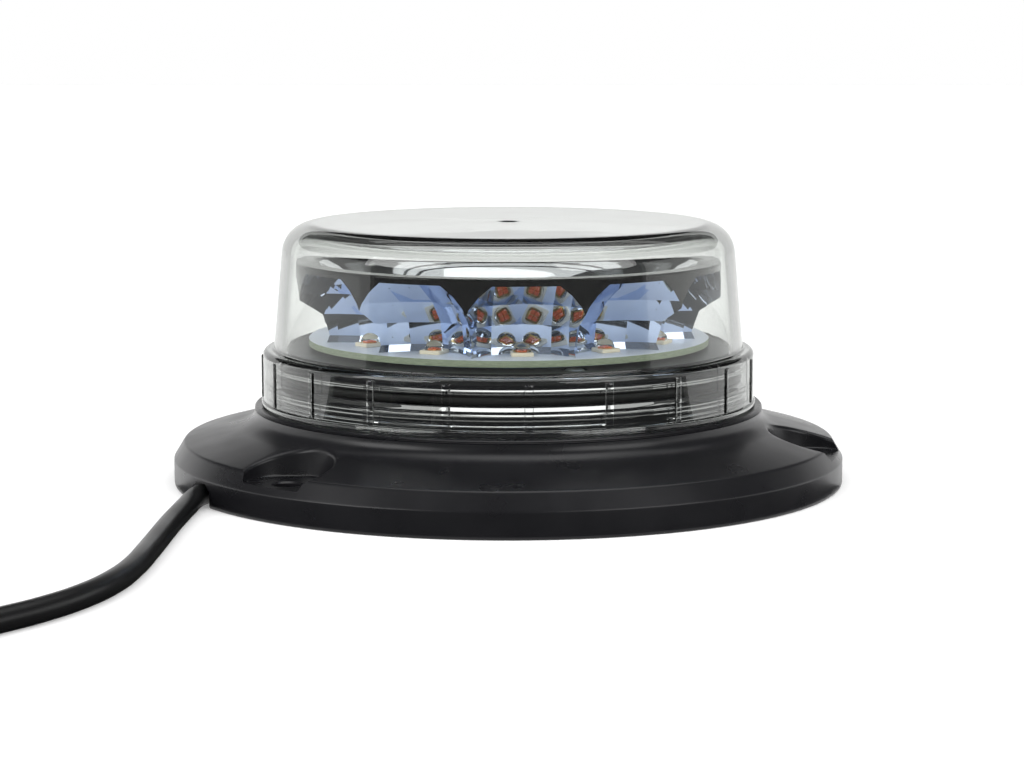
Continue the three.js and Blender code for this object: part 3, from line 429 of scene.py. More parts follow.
def metal(name, base, roughness, grain, stretch=(1, 1, 1)):
    """A bare or plated metal with the marks of how it was made, grain millimetres apart."""
    material, tree = new_material(name)
    marks = lumps(tree, grain, 3, stretch)
    relief = {"Height": marks, "Distance": 0.004 * MM, "Strength": 0.4}
    sockets = {"Base Color": shaded(tree, lumps(tree, 6, 2), base, 0.06), "Metallic": 1.0}
    close_opaque(tree, marks, (roughness - 0.08, roughness + 0.08), relief, sockets)
    return material


def make_mirror(name, base):
    """Vacuum-metallised and lacquered plastic: a mirror that is a little cold and soft."""
    material, tree = new_material(name)
    haze = lumps(tree, 5, 3)
    # Few lumps reach as high as this, so the dark specks are rare. Dust under the metal makes real
    # specks of about 0.1 mm, and they are drawn larger, so that they show.
    steep = {"Value": lumps(tree, 0.9, 1), "From Min": 0.76, "From Max": 0.8}
    speck = add_node(tree, "ShaderNodeMapRange", {}, steep).outputs["Result"]
    dark = tuple(c * 0.35 for c in base[:3]) + (1,)
    sockets = {0: speck, 6: shaded(tree, haze, base, 0.03), 7: dark}
    tinted = add_node(tree, "ShaderNodeMix", {"data_type": "RGBA"}, sockets).outputs[2]
    relief = {"Height": lumps(tree, 6, 1), "Distance": 0.012 * MM, "Strength": 1.0}
    close_opaque(tree, haze, (0.03, 0.06), relief, {"Base Color": tinted, "Metallic": 1.0})
    return material


def make_laminate(name, base):
    """The cut edge of a board, where the layers of cloth and resin show as fine lines."""
    material, tree = new_material(name)
    layers = lumps(tree, 0.18, 2, (8, 8, 1))
    relief = {"Height": layers, "Distance": 0.02 * MM, "Strength": 0.5}
    sockets = {
        "Base Color": shaded(tree, layers, base, 0.18),
        "Roughness": 0.6,
        "Specular IOR Level": 0.3,
        "Normal": add_node(tree, "ShaderNodeBump", {}, relief).outputs["Normal"],
    }
    shader = add_node(tree, "ShaderNodeBsdfPrincipled", {}, sockets)
    add_node(tree, "ShaderNodeOutputMaterial", {}, {"Surface": shader.outputs[0]})
    return material


def clear(name, ior, tint, wave, depth):
    """A clear solid, a little wavy. Shadow and diffuse rays pass straight through it."""
    material, tree = new_material(name)
    relief = {"Height": lumps(tree, wave, 1), "Distance": depth * MM, "Strength": 1.0}
    normal = add_node(tree, "ShaderNodeBump", {}, relief).outputs["Normal"]
    sockets = {"Color": tint, "Roughness": 0.0, "IOR": ior, "Normal": normal}
    glass = add_node(tree, "ShaderNodeBsdfGlass", {}, sockets)
    through = add_node(tree, "ShaderNodeBsdfTransparent", {}, {"Color": tint})
    path = add_node(tree, "ShaderNodeLightPath").outputs
    sockets = {0: path["Is Shadow Ray"], 1: path["Is Diffuse Ray"]}
    passing = add_node(tree, "ShaderNodeMath", {"operation": "MAXIMUM"}, sockets).outputs[0]
    sockets = {0: passing, 1: glass.outputs[0], 2: through.outputs[0]}
    shader = add_node(tree, "ShaderNodeMixShader", {}, sockets)
    add_node(tree, "ShaderNodeOutputMaterial", {}, {"Surface": shader.outputs[0]})
    return material


def make_materials(colours, sizes):
    """All finishes of the beacon, by the names that the pieces use.

    The sizes that the comments give are typical of each material and weren't measured. A grain of
    about 0.1 mm or less is too fine to show in the render, so it is drawn as coarse as it needs to
    be, and its comment says so. The other patterns are meant at their real size.
    """
    grain = sizes.grain / MM
    return {
        # Glass-filled nylon, moulded in a finely eroded tool: satin black with a faint grain. Real
        # grain of this kind is about 0.1 mm wide, and it is drawn coarser.
        "nylon": moulded("black_nylon", colours.nylon, 0.3, grain, 0.012, 0.42),
        # The same nylon where the tool is polished, so that the seal and the lens slide on it. Its
        # polishing marks are finer than 0.1 mm, and they are drawn coarser.
        "polished": moulded("black_nylon_polished", colours.nylon, 0.16, 2 * grain, 0.004, 0.4),
        # Polycarbonate, moulded in a polished tool: clear, with a very faint waviness.
        "lens": clear("clear_polycarbonate", 1.585, srgb("f8f9f8"), 16, 0.012),
        # Polycarbonate, metallised in a vacuum and lacquered: a cold blue mirror in the scoops.
        "mirror": make_mirror("metallised_scoops", colours.mirror),
        # The same metal in the bowl over the scoops, paler: a painted reflection of the white room.
        "bowl_mirror_painted_pale": make_mirror("metallised_bowl_painted_pale", colours.bowl_mirror_painted_pale),
        # The same moulding where the mask kept the metal off: smooth and near black.
        "bare": moulded("bare_reflector_edge", colours.bare, 0.12, 7, 0.05, 0.35, 0.05),
        # EPDM rubber, moulded: dull black. Its bloom is finer than 0.1 mm and is drawn coarser.
        "rubber": moulded("epdm_rubber", colours.rubber, 0.62, 0.6, 0.02, 0.3),
        # PVC jacket, extruded: semi-matt black with faint unevenness.
        "jacket": moulded("pvc_jacket", colours.jacket, 0.33, 0.9, 0.02, 0.42),
        # PVC round each core, extruded: satin, in the colour that tells the core. Its grain is
        # finer than 0.1 mm and is drawn coarser.
        "core_red": moulded("red_pvc_core", srgb("b3201f"), 0.4, 0.6, 0.01, 0.4),
        "core_black": moulded("black_pvc_core", srgb("1a1a1a"), 0.4, 0.6, 0.01, 0.4),
        "core_yellow": moulded("yellow_pvc_core", srgb("d9a520"), 0.4, 0.6, 0.01, 0.4),
        # Copper strands of about 0.3 mm, thinly tinned, at the cut ends of the cores: warm and
        # softly shining.
        "copper": metal("tinned_copper", srgb("c98f6c"), 0.35, 0.3),
        # PVC tape, wound once round the coil: thin, smooth and a little shiny.
        "tape": moulded("pvc_tape", srgb("232325"), 0.3, 1.5, 0.02, 0.5),
        # Ceramic LED body, pressed and fired: matt cream. Its grain of about 0.02 mm is drawn
        # coarser.
        "package": moulded("led_ceramic", colours.package, 0.5, 0.3, 0.006, 0.4, 0.03),
        # Semiconductor chip, sawn and polished: glossy orange red while it isn't lit. Its marks,
        # finer than 0.01 mm, are drawn coarser.
        "die": moulded("led_die", colours.die, 0.25, 0.2, 0.002, 0.6, 0.05),
        # Gold, plated thinly on the pad under the die: warm yellow with a soft shine. The grain of
        # the plating, about 0.01 mm, is drawn coarser.
        "gold": metal("gold_plating", srgb("d9b46a"), 0.3, 0.3),
        # Silicone dome, cast on the body: clear.
        "silicone": clear("clear_silicone", 1.41, srgb("fdfcf8"), 3, 0.002),
        # White solder mask, screen printed on the board's face: smooth, satin and a little blue. A
        # screen's mesh of about 0.1 mm is drawn coarser.
        "mask": moulded("white_solder_mask", colours.mask, 0.35, 0.7, 0.004, 0.45, 0.03),
        # Glass fibre laminate, milled: the cut edge is dull and greenish. Its layers of cloth are
        # about 0.18 mm thick.
        "laminate": make_laminate("fr4_edge", colours.laminate),
        # Green solder mask, screen printed on the driver board and under the LED board: satin. The
        # screen's mesh is drawn coarser here too.
        "green_mask": moulded("green_solder_mask", srgb("1f5a3a"), 0.35, 0.8, 0.01, 0.45),
        # Steel, zinc plated and passivated: pale grey with a soft shine. The grain of the plating,
        # about 0.02 mm, is drawn coarser.
        "zinc": metal("zinc_plated_steel", colours.zinc, 0.32, 0.25),
        # Aluminium sheet, turned and anodised black: dull, with the tool's marks 0.25 mm apart.
        "plate": moulded("black_anodised_aluminium", colours.plate, 0.4, 0.25, 0.006, 0.4),
        # Silicone thermal pad with ceramic filler: matt blue grey. The filler's grains, about
        # 0.05 mm, are drawn coarser.
        "pad": moulded("thermal_pad_silicone", srgb("7f97a8"), 0.75, 0.4, 0.03, 0.2),
        # Ferrite, pressed and sintered: dark grey, matt, with small pores. They are about 0.05 mm
        # wide and are drawn coarser.
        "ferrite": moulded("sintered_ferrite", srgb("343436"), 0.6, 0.25, 0.03, 0.4),
        # Aluminium capacitor can, drawn: bright, with fine upright marks. Real ones lie 0.1 mm
        # apart, and they are drawn coarser.
        "can": metal("drawn_aluminium_can", srgb("c5c7ca"), 0.3, 0.3, (1, 1, 10)),
        # Epoxy of the controller, moulded: matt black. Its grain of about 0.05 mm is drawn coarser.
        "epoxy": moulded("black_epoxy", srgb("222224"), 0.55, 0.2, 0.01, 0.35),
        # Polyamide of the terminal block, moulded: satin green. Its grain of about 0.05 mm is
        # drawn coarser.
        "terminal": moulded("green_polyamide", srgb("2f7d4f"), 0.45, 0.5, 0.01, 0.35),
    }


# The finishes by name, filled by the operator for the materials.
finishes = {}


# Tools for meshes and objects.


def add_object(name, data):
    """A new object in the scene."""
    item = bpy.data.objects.new(name, data)
    bpy.context.scene.collection.objects.link(item)
    return item


def mesh_object(name, points, faces):
    """A new object from points in millimetres, with its faces turned outwards."""
    mesh = bpy.data.meshes.new(name)
    mesh.from_pydata([Vector(p) * MM for p in points], [], faces)
    tidy = bmesh.new()
    tidy.from_mesh(mesh)
    bmesh.ops.recalc_face_normals(tidy, faces=tidy.faces)
    tidy.to_mesh(mesh)
    tidy.free()
    return add_object(name, mesh)


def skin(name, rings, closed=False):
    """A body from rings of points, each joined to the next. A ring of one point is a pole.

    A closed body joins its last ring to its first; any other has its open ends filled.
    """
    points = []
    starts = []
    for ring in rings:
        starts.append(len(points))
        points.extend(ring)
    pairs = list(zip(range(len(rings)), range(1, len(rings))))
    if closed:
        pairs.append((len(rings) - 1, 0))
    faces = []
    for a, b in pairs:
        count = max(len(rings[a]), len(rings[b]))
        if count == 1:
            continue
        for i in range(count):
            j = (i + 1) % count
            corners = []
            for ring, k in ((a, i), (a, j), (b, j), (b, i)):
                corner = starts[ring] + (k if len(rings[ring]) > 1 else 0)
                if corner not in corners:
                    corners.append(corner)
            faces.append(corners)
    if not closed:
        for ring in (0, len(rings) - 1):
            if len(rings[ring]) > 1:
                faces.append([starts[ring] + i for i in range(len(rings[ring]))])
    return mesh_object(name, points, faces)


def circle(radius, height, angles, x=0, y=0):
    """A ring of points, or its one middle point where the radius is 0."""
    if radius == 0:
        return [(x, y, height)]
    return [(x + radius * math.cos(a), y + radius * math.sin(a), height) for a in angles]


def around(count):
    """Evenly spread angles of one full turn, in radians."""
    return [2 * math.pi * i / count for i in range(count)]


def turned(name, outline, count=96, closed=False, x=0, y=0):
    """A body turned about an upright axis from an outline of (radius, height)."""
    angles = around(count)
    return skin(name, [circle(r, z, angles, x, y) for r, z in outline], closed)


def post(name, radius, low, high, count, x=0, y=0):
    """A plain upright round body."""
    return turned(name, [(0, low), (radius, low), (radius, high), (0, high)], count, x=x, y=y)


def rounded(corners, steps=4):
    """An outline in which each corner given as (x, y, radius) is rounded off."""
    outline = []
    for i, corner in enumerate(corners):
        if len(corner) == 2:
            outline.append(corner)
            continue
        here = Vector(corner[:2])
        before = (Vector(corners[i - 1][:2]) - here).normalized()
        after = (Vector(corners[(i + 1) % len(corners)][:2]) - here).normalized()
        half = before.angle(after) / 2
        middle = here + (before + after).normalized() * corner[2] / math.sin(half)
        start = here + before * corner[2] / math.tan(half) - middle
        end = here + after * corner[2] / math.tan(half) - middle
        turn = start.angle_signed(end)
        for step in range(steps + 1):
            share = -turn * step / steps
            x = start.x * math.cos(share) - start.y * math.sin(share)
            y = start.x * math.sin(share) + start.y * math.cos(share)
            outline.append((middle.x + x, middle.y + y))
    return outline


def held(outline, reach=0.3):
    """Adds a point near both ends of each long straight run, so that a flat wall shades flat."""
    result = []
    for here, after in zip(outline, outline[1:] + outline[-1:]):
        result.append(here)
        run = math.dist(here[:2], after[:2])
        if run > 4 * reach:
            for share in (reach / run, 1 - reach / run):
                result.append(tuple(a + (b - a) * share for a, b in zip(here, after)))
    return result


def arc(x, y, radius, first, last, steps):
    """Points of an arc from one angle to another, in degrees."""
    angles = [math.radians(first + (last - first) * i / steps) for i in range(steps + 1)]
    return [(x + radius * math.cos(a), y + radius * math.sin(a)) for a in angles]


def polar(radius, degrees):
    """The plan coordinates of a radius and an angle."""
    return radius * math.cos(math.radians(degrees)), radius * math.sin(math.radians(degrees))


def prism(name, outline, low, high, matrix=None):
    """An upright prism over a plan outline, or one laid elsewhere by a matrix in millimetres."""
    matrix = matrix or Matrix.Identity(4)
    rings = [[tuple(matrix @ Vector((x, y, z))) for x, y in outline] for z in (low, high)]
    return skin(name, rings)


def radial(degrees, height):
    """Lays an upright body along one direction of the plan, at a height, in millimetres."""
    turn = Matrix.Rotation(math.radians(degrees), 4, "Z")
    return turn @ Matrix.Translation((0, 0, height)) @ Matrix.Rotation(math.pi / 2, 4, "Y")


def lay(item, matrix):
    """Moves an object's mesh by a matrix in millimetres."""
    matrix = matrix.copy()
    matrix.translation *= MM
    item.data.transform(matrix)
    return item


def combine(target, others, operation):
    """Cuts other bodies from a body or joins them to it, and takes them away."""
    for other in others:
        modifier = target.modifiers.new("combine", "BOOLEAN")
        modifier.object = other
        modifier.operation = operation
        modifier.solver = "MANIFOLD"
    graph = bpy.context.evaluated_depsgraph_get()
    mesh = bpy.data.meshes.new_from_object(target.evaluated_get(graph))
    target.modifiers.clear()
    old = target.data
    target.data = mesh
    bpy.data.meshes.remove(old)
    for other in others:
        bpy.data.objects.remove(other)
    return target


def joined(name, parts):
    """One mesh from bodies that don't touch, each given with the number of its finish."""
    whole = bmesh.new()
    for item, number in parts:
        first = len(whole.faces)
        whole.from_mesh(item.data)
        whole.faces.ensure_lookup_table()
        for face in whole.faces[first:]:
            face.material_index = number
        bpy.data.objects.remove(item)
    mesh = bpy.data.meshes.new(name)
    whole.to_mesh(mesh)
    whole.free()
    return mesh


def finish(item, finish_names, sharp=32):
    """Gives an object its materials and smooth faces with sharp edges."""
    item.data.materials.clear()
    for name in finish_names:
        item.data.materials.append(finishes[name])
    if item.type == "MESH":
        for face in item.data.polygons:
            face.material_index = 0
        item.data.shade_smooth()
        item.data.set_sharp_from_angle(angle=math.radians(sharp))
    return item


def soften(item, width):
    """Rounds the edges of an object that are sharper than 40 degrees."""
    modifier = item.modifiers.new("edges", "BEVEL")
    modifier.width = width * MM
    modifier.segments = 2
    modifier.limit_method = "ANGLE"
    modifier.angle_limit = math.radians(40)
    return combine(item, [], "UNION")


def stand_for(item, nodes, body):
    """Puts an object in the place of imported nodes, on their body."""
    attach(item, body)
    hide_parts(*nodes)


# The base and the spigot.


def deck_height(radius):
    """Height of the sloping deck."""
    return DECK_EDGE[1] + (DECK_EDGE[0] - radius) * DECK_SLOPE


def neck_fillet(steps=10):
    """The sweep from the deck up into the neck."""
    foot = NECK_RADIUS - NECK_DRAFT + NECK_FILLET
    corner = (NECK_RADIUS, deck_height(NECK_RADIUS - NECK_DRAFT))
    start = (foot, deck_height(foot))
    end = (NECK_RADIUS, corner[1] + NECK_FILLET * 0.7)
    points = []
    for i in range(steps + 1):
        t = i / steps
        weights = ((1 - t) ** 2, 2 * t * (1 - t), t * t)
        ends = list(zip(weights, (start, corner, end)))
        points.append(tuple(sum(w * p[k] for w, p in ends) for k in (0, 1)))
    return points


def housing_outline():
    """The outside of the base, from the middle of its underside to the middle of its top."""
    up_the_deck = (60, deck_height(60))  # only turns the corner before it
    corners = [(0, 0), (FLANGE_RADIUS, 0, 0.8), (FLANGE_RADIUS, RIM_HEIGHT, 0.7), (*DECK_EDGE, 0.9)]
    rim = rounded([*corners, up_the_deck])[:-1]
    top = [(NECK_RADIUS - inset, height) for inset, height in NECK_BEADS]
    top += [(NECK_RADIUS - NECK_DRAFT, SHOULDER - 0.1), (NECK_RADIUS - 0.7, SHOULDER)]
    top.append((0, SHOULDER))
    return rim + neck_fillet() + top


def outside_height(radius):
    """Height of the base's outside over a radius, from its own outline."""
    outline = [p for p in housing_outline() if p[1] > RIM_HEIGHT + 0.5]
    for (r0, z0), (r1, z1) in zip(outline, outline[1:]):
        if r1 <= radius <= r0:
            return z0 + (z1 - z0) * (radius - r0) / (r1 - r0)
    return outline[0][1] if radius > outline[0][0] else outline[-1][1]


def well_cutter(degrees):
    """The space over a bolt: a round well whose lip follows the deck with a soft edge."""
    x, y = polar(BOLT_CIRCLE, degrees)
    angles = around(96)
    top = SPIGOT_TOP
    lowest = WELL_FLOOR + WELL_LIP + 0.7
    rings = [[(x, y, WELL_FLOOR)]]
    for r, z in arc(WELL_RADIUS - WELL_CORNER, WELL_FLOOR + WELL_CORNER, WELL_CORNER, -90, 0, 3):
        rings.append(circle(r, z, angles, x, y))
    for step in range(6):
        turn = math.pi / 2 * step / 5
        reach = WELL_RADIUS + WELL_LIP * (1 - math.cos(turn))
        ring = []
        for px, py, _ in circle(reach, 0, angles, x, y):
            edge = max(outside_height(math.hypot(px, py)), lowest)
            ring.append((px, py, edge - WELL_LIP * (1 - math.sin(turn))))
        rings.append(ring)
    rings.append([(px, py, pz + 0.4) for px, py, pz in rings[-1]])
    rings.append(circle(WELL_RADIUS + WELL_LIP, top, angles, x, y))
    rings.append([(x, y, top)])
    return skin("well", rings)


def hole_cutter(radius, low, high, x, y, chamfer=0.4, count=48):
    """A round hole with a small chamfer at both of its ends."""
    outline = [
        (0, low - CUT_OVER),
        (radius + chamfer + CUT_OVER, low - CUT_OVER),
        (radius, low + chamfer),
        (radius, high - chamfer),
        (radius + chamfer + CUT_OVER, high + CUT_OVER),
        (0, high + CUT_OVER),
    ]
    return turned("hole", outline, count, x=x, y=y)


def screw_holes(places, low, high, chamfer=0.0):
    """The cutters of the holes for three screws."""
    return [hole_cutter(SCREW_HOLE, low, high, x, y, chamfer, 32) for x, y in places]


def bosses(places, low, high):
    """The bosses of three screws, which end just inside the faces that they reach."""
    return [post("boss", BOSS_RADIUS, low, high, 32, x, y) for x, y in places]


def screw_places(radius, first):
    """The places of three screws on a circle."""
    return [polar(radius, first + 120 * i) for i in range(3)]


# Three sets of screws, each from the radius of its circle and the angle of its first screw.
COVER_PLACES = screw_places(39, 0)
PLATE_PLACES = screw_places(47.95, 48)
REFLECTOR_PLACES = screw_places(22, 90)


def cable_notch():
    """The slot in the underside of the rim, along the cable."""
    start, middle, end = (Vector(CABLE_ROUTE[i]) for i in (8, 9, 10))
    along = end - start
    half = [(NOTCH_HALF, -CUT_OVER), (NOTCH_HALF, NOTCH_TOP - NOTCH_CORNER)]
    half.append((NOTCH_HALF - NOTCH_CORNER, NOTCH_TOP))
    outline = half + [(-x, y) for x, y in reversed(half)]
    turn = Matrix.Rotation(math.atan2(along.y, along.x) + math.pi / 2, 4, "Z")
    place = Matrix.Translation((middle.x, middle.y, 0)) @ turn
    return prism("notch", outline, -13, 13, place @ Matrix.Rotation(math.pi / 2, 4, "X"))


def web_plate(degrees):
    """One of the webs between the cavity wall and the rim."""
    half = WEB_THICKNESS / 2
    inner, outer = CAVITY_OUTER - 1, FLANGE_RADIUS - WALL
    outline = [(inner, -half), (outer, -half), (outer, half), (inner, half)]
    turn = Matrix.Rotation(math.radians(degrees), 4, "Z")
    return prism("web", outline, COVER_FOOT, SHOULDER - WALL, turn)


def make_housing():
    """The black base: flange, deck, neck and the wall of the cavity, with its wells and webs."""
    outside = turned("base_housing_looks", held(housing_outline()), 192)
    rim = FLANGE_RADIUS - WALL - 1
    hollow = [
        (CAVITY_OUTER, -CUT_OVER),
        (CAVITY_OUTER, deck_height(CAVITY_OUTER) - WALL),
        (rim - 1, deck_height(rim - 1) - WALL),
        (rim, RIM_HEIGHT),
        (rim, -CUT_OVER),
    ]
    combine(outside, [turned("hollow", hollow, 96, True)], "DIFFERENCE")
    bolts = [polar(BOLT_CIRCLE, degrees) for degrees in BOLT_ANGLES]
    posts = [post("post", WELL_RADIUS + WELL_WALL, 0, SHOULDER, 72, x, y) for x, y in bolts]
    webs = [web_plate(BOLT_ANGLES[0] + 60 * i) for i in range(6)]
    inside = combine(posts[0], posts[1:] + webs, "UNION")
    skin_depth = 1.2  # posts and webs stay this far inside the outer faces
    within = [(max(0, r - skin_depth), max(OFF_FACE, z - skin_depth)) for r, z in housing_outline()]
    within = within[1:-1] + [(0, SHOULDER - skin_depth), (0, OFF_FACE)]
    combine(inside, [turned("within", within, 192)], "INTERSECT")
    combine(outside, [inside], "UNION")

    seat = COVER_SEAT + 0.3
    cavity = [(0, -CUT_OVER), (seat, -CUT_OVER), (seat, LEDGE), (CAVITY_RADIUS, LEDGE)]
    cavity += [(CAVITY_RADIUS, SHOULDER + CUT_OVER), (0, SHOULDER + CUT_OVER)]
    combine(outside, [turned("cavity", cavity, 128)], "DIFFERENCE")
    combine(outside, bosses(COVER_PLACES, LEDGE + OFF_FACE, SHOULDER - OFF_FACE), "UNION")
    cuts = screw_holes(COVER_PLACES, LEDGE, SHOULDER, 0.25)
    for degrees, (x, y) in zip(BOLT_ANGLES, bolts):
        hole = hole_cutter(BOLT_HOLE, 0, WELL_FLOOR, x, y)
        cuts.append(combine(well_cutter(degrees), [hole], "UNION"))
    bar = post("bar", GLAND_HOLE, CAVITY_RADIUS - 3, CAVITY_OUTER + 3, 48)
    cuts.append(lay(bar, radial(GLAND_ANGLE, GLAND_HEIGHT)))
    cuts.append(cable_notch())
    combine(outside, cuts, "DIFFERENCE")
    finish(outside, ["nylon"], 28)
    stand_for(outside, ["base_housing"], "base")


def ring_slice(name, inner, outer, low, high, first, last, steps=12):
    """A slice of a ring between two angles in degrees."""
    angles = [first + (last - first) * i / steps for i in range(steps + 1)]
    outline = [polar(outer, a) for a in angles] + [polar(inner, a) for a in reversed(angles)]
    return prism(name, outline, low, high)


def make_spigot():
    """The ring inside the lens collar, with the seal's groove, keepers and screw bosses."""
    outline = [(SPIGOT_BORE, SHOULDER), (SPIGOT_RADIUS, SHOULDER)]
    for ridge in SPIGOT_RIDGES:
        outline += arc(SPIGOT_RADIUS, ridge, RIDGE_RADIUS, -90, -270, 4)
    groove_foot, groove_top = SEAL_HEIGHT - GROOVE_HALF, SEAL_HEIGHT + GROOVE_HALF
    outline += [(SPIGOT_RADIUS, groove_foot), (GROOVE_FLOOR, groove_foot)]
    outline += [(GROOVE_FLOOR, groove_top), (SPIGOT_RADIUS, groove_top)]
    outline += [(SPIGOT_RADIUS, SPIGOT_TOP - 0.5), (SPIGOT_RADIUS - 0.5, SPIGOT_TOP)]
    outline.append((SPIGOT_BORE, SPIGOT_TOP))
    spigot = turned("spigot_looks", held(outline, 0.15), 192, True)
    foot = SHOULDER + OFF_FACE
    extras = bosses(PLATE_PLACES, foot, BOSS_TOP)
    for angle in LUG_ANGLES:
        first, last = angle - KEEPER_HALF, angle + KEEPER_HALF
        extras.append(ring_slice("keeper", *KEEPER_RING, KEEPER_FOOT, KEEPER_TOP, first, last))
        last = angle - STOP_ANGLE
        first = last - STOP_ARC
        extras.append(ring_slice("stop", *KEEPER_RING, foot, KEEPER_FOOT + 0.2, first, last))
    combine(spigot, extras, "UNION")
    combine(spigot, screw_holes(PLATE_PLACES, BOSS_HOLE_FOOT, BOSS_TOP, 0.2), "DIFFERENCE")
    finish(spigot, ["polished"], 28)
    stand_for(spigot, ["spigot"], "base")

    section = arc(SEAL_MIDDLE, SEAL_HEIGHT, SEAL_RADIUS, 0, 345, 23)
    seal = turned("lens_seal_looks", section, 192, True)
    finish(seal, ["rubber"])
    stand_for(seal, ["lens_seal"], "base")


# The lens.


def dome_radius(height):
    """Outer radius of the dome, which narrows a little upwards."""
    return DOME_RADIUS - (height - COLLAR_TOP) * DOME_DRAFT


def lens_angles():
    """Angles round the lens, closer together over each grip rib."""
    reach = math.degrees(GRIP_HALF / COLLAR_RADIUS)
    ribs = [HEAD_ANGLE + 360 / GRIP_COUNT * i for i in range(GRIP_COUNT)]
    shares = (-1.0, -0.92, -0.75, -0.5, -0.2, 0.2, 0.5, 0.75, 0.92, 1.0)
    angles = [rib + reach * share for rib in ribs for share in shares]
    between_ribs = 14
    step = 360 / GRIP_COUNT / between_ribs
    angles += [rib + step * i for rib in ribs for i in range(1, between_ribs)]
    return sorted(math.radians(a) for a in angles)


def rib_height(angle):
    """How far the collar stands out at an angle, in shares of a whole rib."""
    pitch = math.radians(360 / GRIP_COUNT)
    off = (angle - math.radians(HEAD_ANGLE) + pitch / 2) % pitch - pitch / 2
    share = off * COLLAR_RADIUS / GRIP_HALF
    return math.sqrt(1 - share * share) if abs(share) < 1 else 0.0


def ribless(points):
    """Outline points at which the lens has no ribs."""
    return [(r, z, 0) for r, z in points]


def grooves(bore, places):
    """Outline points of fine grooves in a bore, from the top down."""
    return [p for z, d in places for p in ((bore, z + d), (bore + d, z), (bore, z - d))]


def lens_outline():
    """The lens in section from its foot round to its bore: radius, height and share of a rib."""
    shoulder = LENS_TOP - DOME_SHOULDER
    middle = dome_radius(shoulder) - DOME_SHOULDER
    ceiling = LENS_TOP - DOME_WALL
    rib_top = COLLAR_TOP - COLLAR_CORNER
    step = SPIGOT_TOP + 0.6
    bore_foot = SEAL_HEIGHT - 1.4
    outline = [(LENS_BORE, COLLAR_FOOT, 0)]
    outline += [(COLLAR_RADIUS + out, COLLAR_FOOT + up, rib) for out, up, rib in COLLAR_BEAD]
    outline += [(COLLAR_RADIUS, rib_top - 0.4, 1), (COLLAR_RADIUS, rib_top - 0.12, 0.7)]
    outer = arc(COLLAR_RADIUS - COLLAR_CORNER, rib_top, COLLAR_CORNER, 0, 90, 7)
    outer += arc(DOME_RADIUS + DOME_FOOT, COLLAR_TOP + DOME_FOOT, DOME_FOOT, -90, -170, 4)
    outer += arc(middle, shoulder, DOME_SHOULDER, 5, 90, 18)
    outer += [(30, LENS_TOP), (15, LENS_TOP)]
    outer += [(radius, LENS_TOP - depth) for radius, depth in GATE_MARK]
    inner = [(0, ceiling), (20, ceiling)]
    inner += arc(middle, shoulder, DOME_SHOULDER - DOME_WALL, 90, 5, 14)
    inner += [(DOME_RADIUS - DOME_WALL, step), (SEAL_BORE, step)]
    inner += grooves(SEAL_BORE, SEAL_BORE_GROOVES)
    inner += [(SEAL_BORE, bore_foot), (LENS_BORE, bore_foot - (LENS_BORE - SEAL_BORE))]
    inner += grooves(LENS_BORE, LENS_BORE_GROOVES)
    return outline + ribless(outer + inner)


def make_lens(sizes):
    """The clear lens: ribbed collar, seal bore, dome and flat top with the gate's mark."""
    angles = lens_angles()
    proud = sizes.grip_proud / MM
    rings = []
    for r, z, rib in held(lens_outline()):
        if r == 0:
            rings.append([(0, 0, z)])
            continue
        out = [r + proud * rib * rib_height(a) for a in angles]
        rings.append([(o * math.cos(a), o * math.sin(a), z) for o, a in zip(out, angles)])
    lens = skin("lens_looks", rings, True)
    lugs = []
    for angle in LUG_ANGLES:
        first, last = angle - LUG_HALF, angle + LUG_HALF
        lugs.append(ring_slice("lug", *LUG_RING, LUG_FOOT, LUG_FOOT + LUG_HEIGHT, first, last, 16))
    combine(lens, lugs, "UNION")
    finish(lens, ["lens"], 34)
    stand_for(lens, ["lens"], "lens_cap")


# The reflector, the LEDs and their board.


def scoop_surface(side, height):
    """How far from the axis a scoop's mirror lies."""
    return SCOOP_VERTEX + ((height - SCOOP_AXIS) ** 2 + side**2) / (4 * SCOOP_FOCUS)


def scoop_cutter(degrees):
    """The space in front of one scoop. Each facet between two columns and two rows is flat."""
    rows = [BOARD_TOP - CUT_OVER] + [SCOOP_CEILING - FACET_HEIGHT * k for k in (3, 2, 1, 0)]
    front = scoop_surface(FACET_COLUMNS[-1], SCOOP_CEILING) + CUT_OVER
    across = len(FACET_COLUMNS)
    layer = across * len(rows)
    places = [(side, height) for height in rows for side in FACET_COLUMNS]
    points = [(scoop_surface(side, height), side, height) for side, height in places]
    points += [(front, side, height) for side, height in places]
    faces = []
    for r in range(len(rows) - 1):
        for c in range(across - 1):
            a = r * across + c
            quad = [a, a + across, a + across + 1, a + 1]
            faces += [quad, [layer + i for i in reversed(quad)]]
        left, right = r * across, r * across + across - 1
        faces.append([left, layer + left, layer + left + across, left + across])
        faces.append([right, right + across, layer + right + across, layer + right])
    for c in range(across - 1):
        top = (len(rows) - 1) * across + c
        faces.append([c, c + 1, layer + c + 1, layer + c])
        faces.append([top, layer + top, layer + top + 1, top + 1])
    return lay(mesh_object("scoop", points, faces), Matrix.Rotation(math.radians(degrees), 4, "Z"))


def bowl_outline(floor):
    """The bowl on the upper side, one wall's thickness behind the scoops, from the rim down."""
    outline = []
    for step in range(BOWL_STEPS, -1, -1):
        height = floor + step / BOWL_STEPS * (REFLECTOR_TOP - floor)
        lean = (height - SCOOP_AXIS) / (2 * SCOOP_FOCUS)
        behind = REFLECTOR_WALL * math.sqrt(1 + lean * lean)
        outline.append((scoop_surface(0, max(height, SCOOP_AXIS)) - behind, height))
    return outline + [(0, floor)]


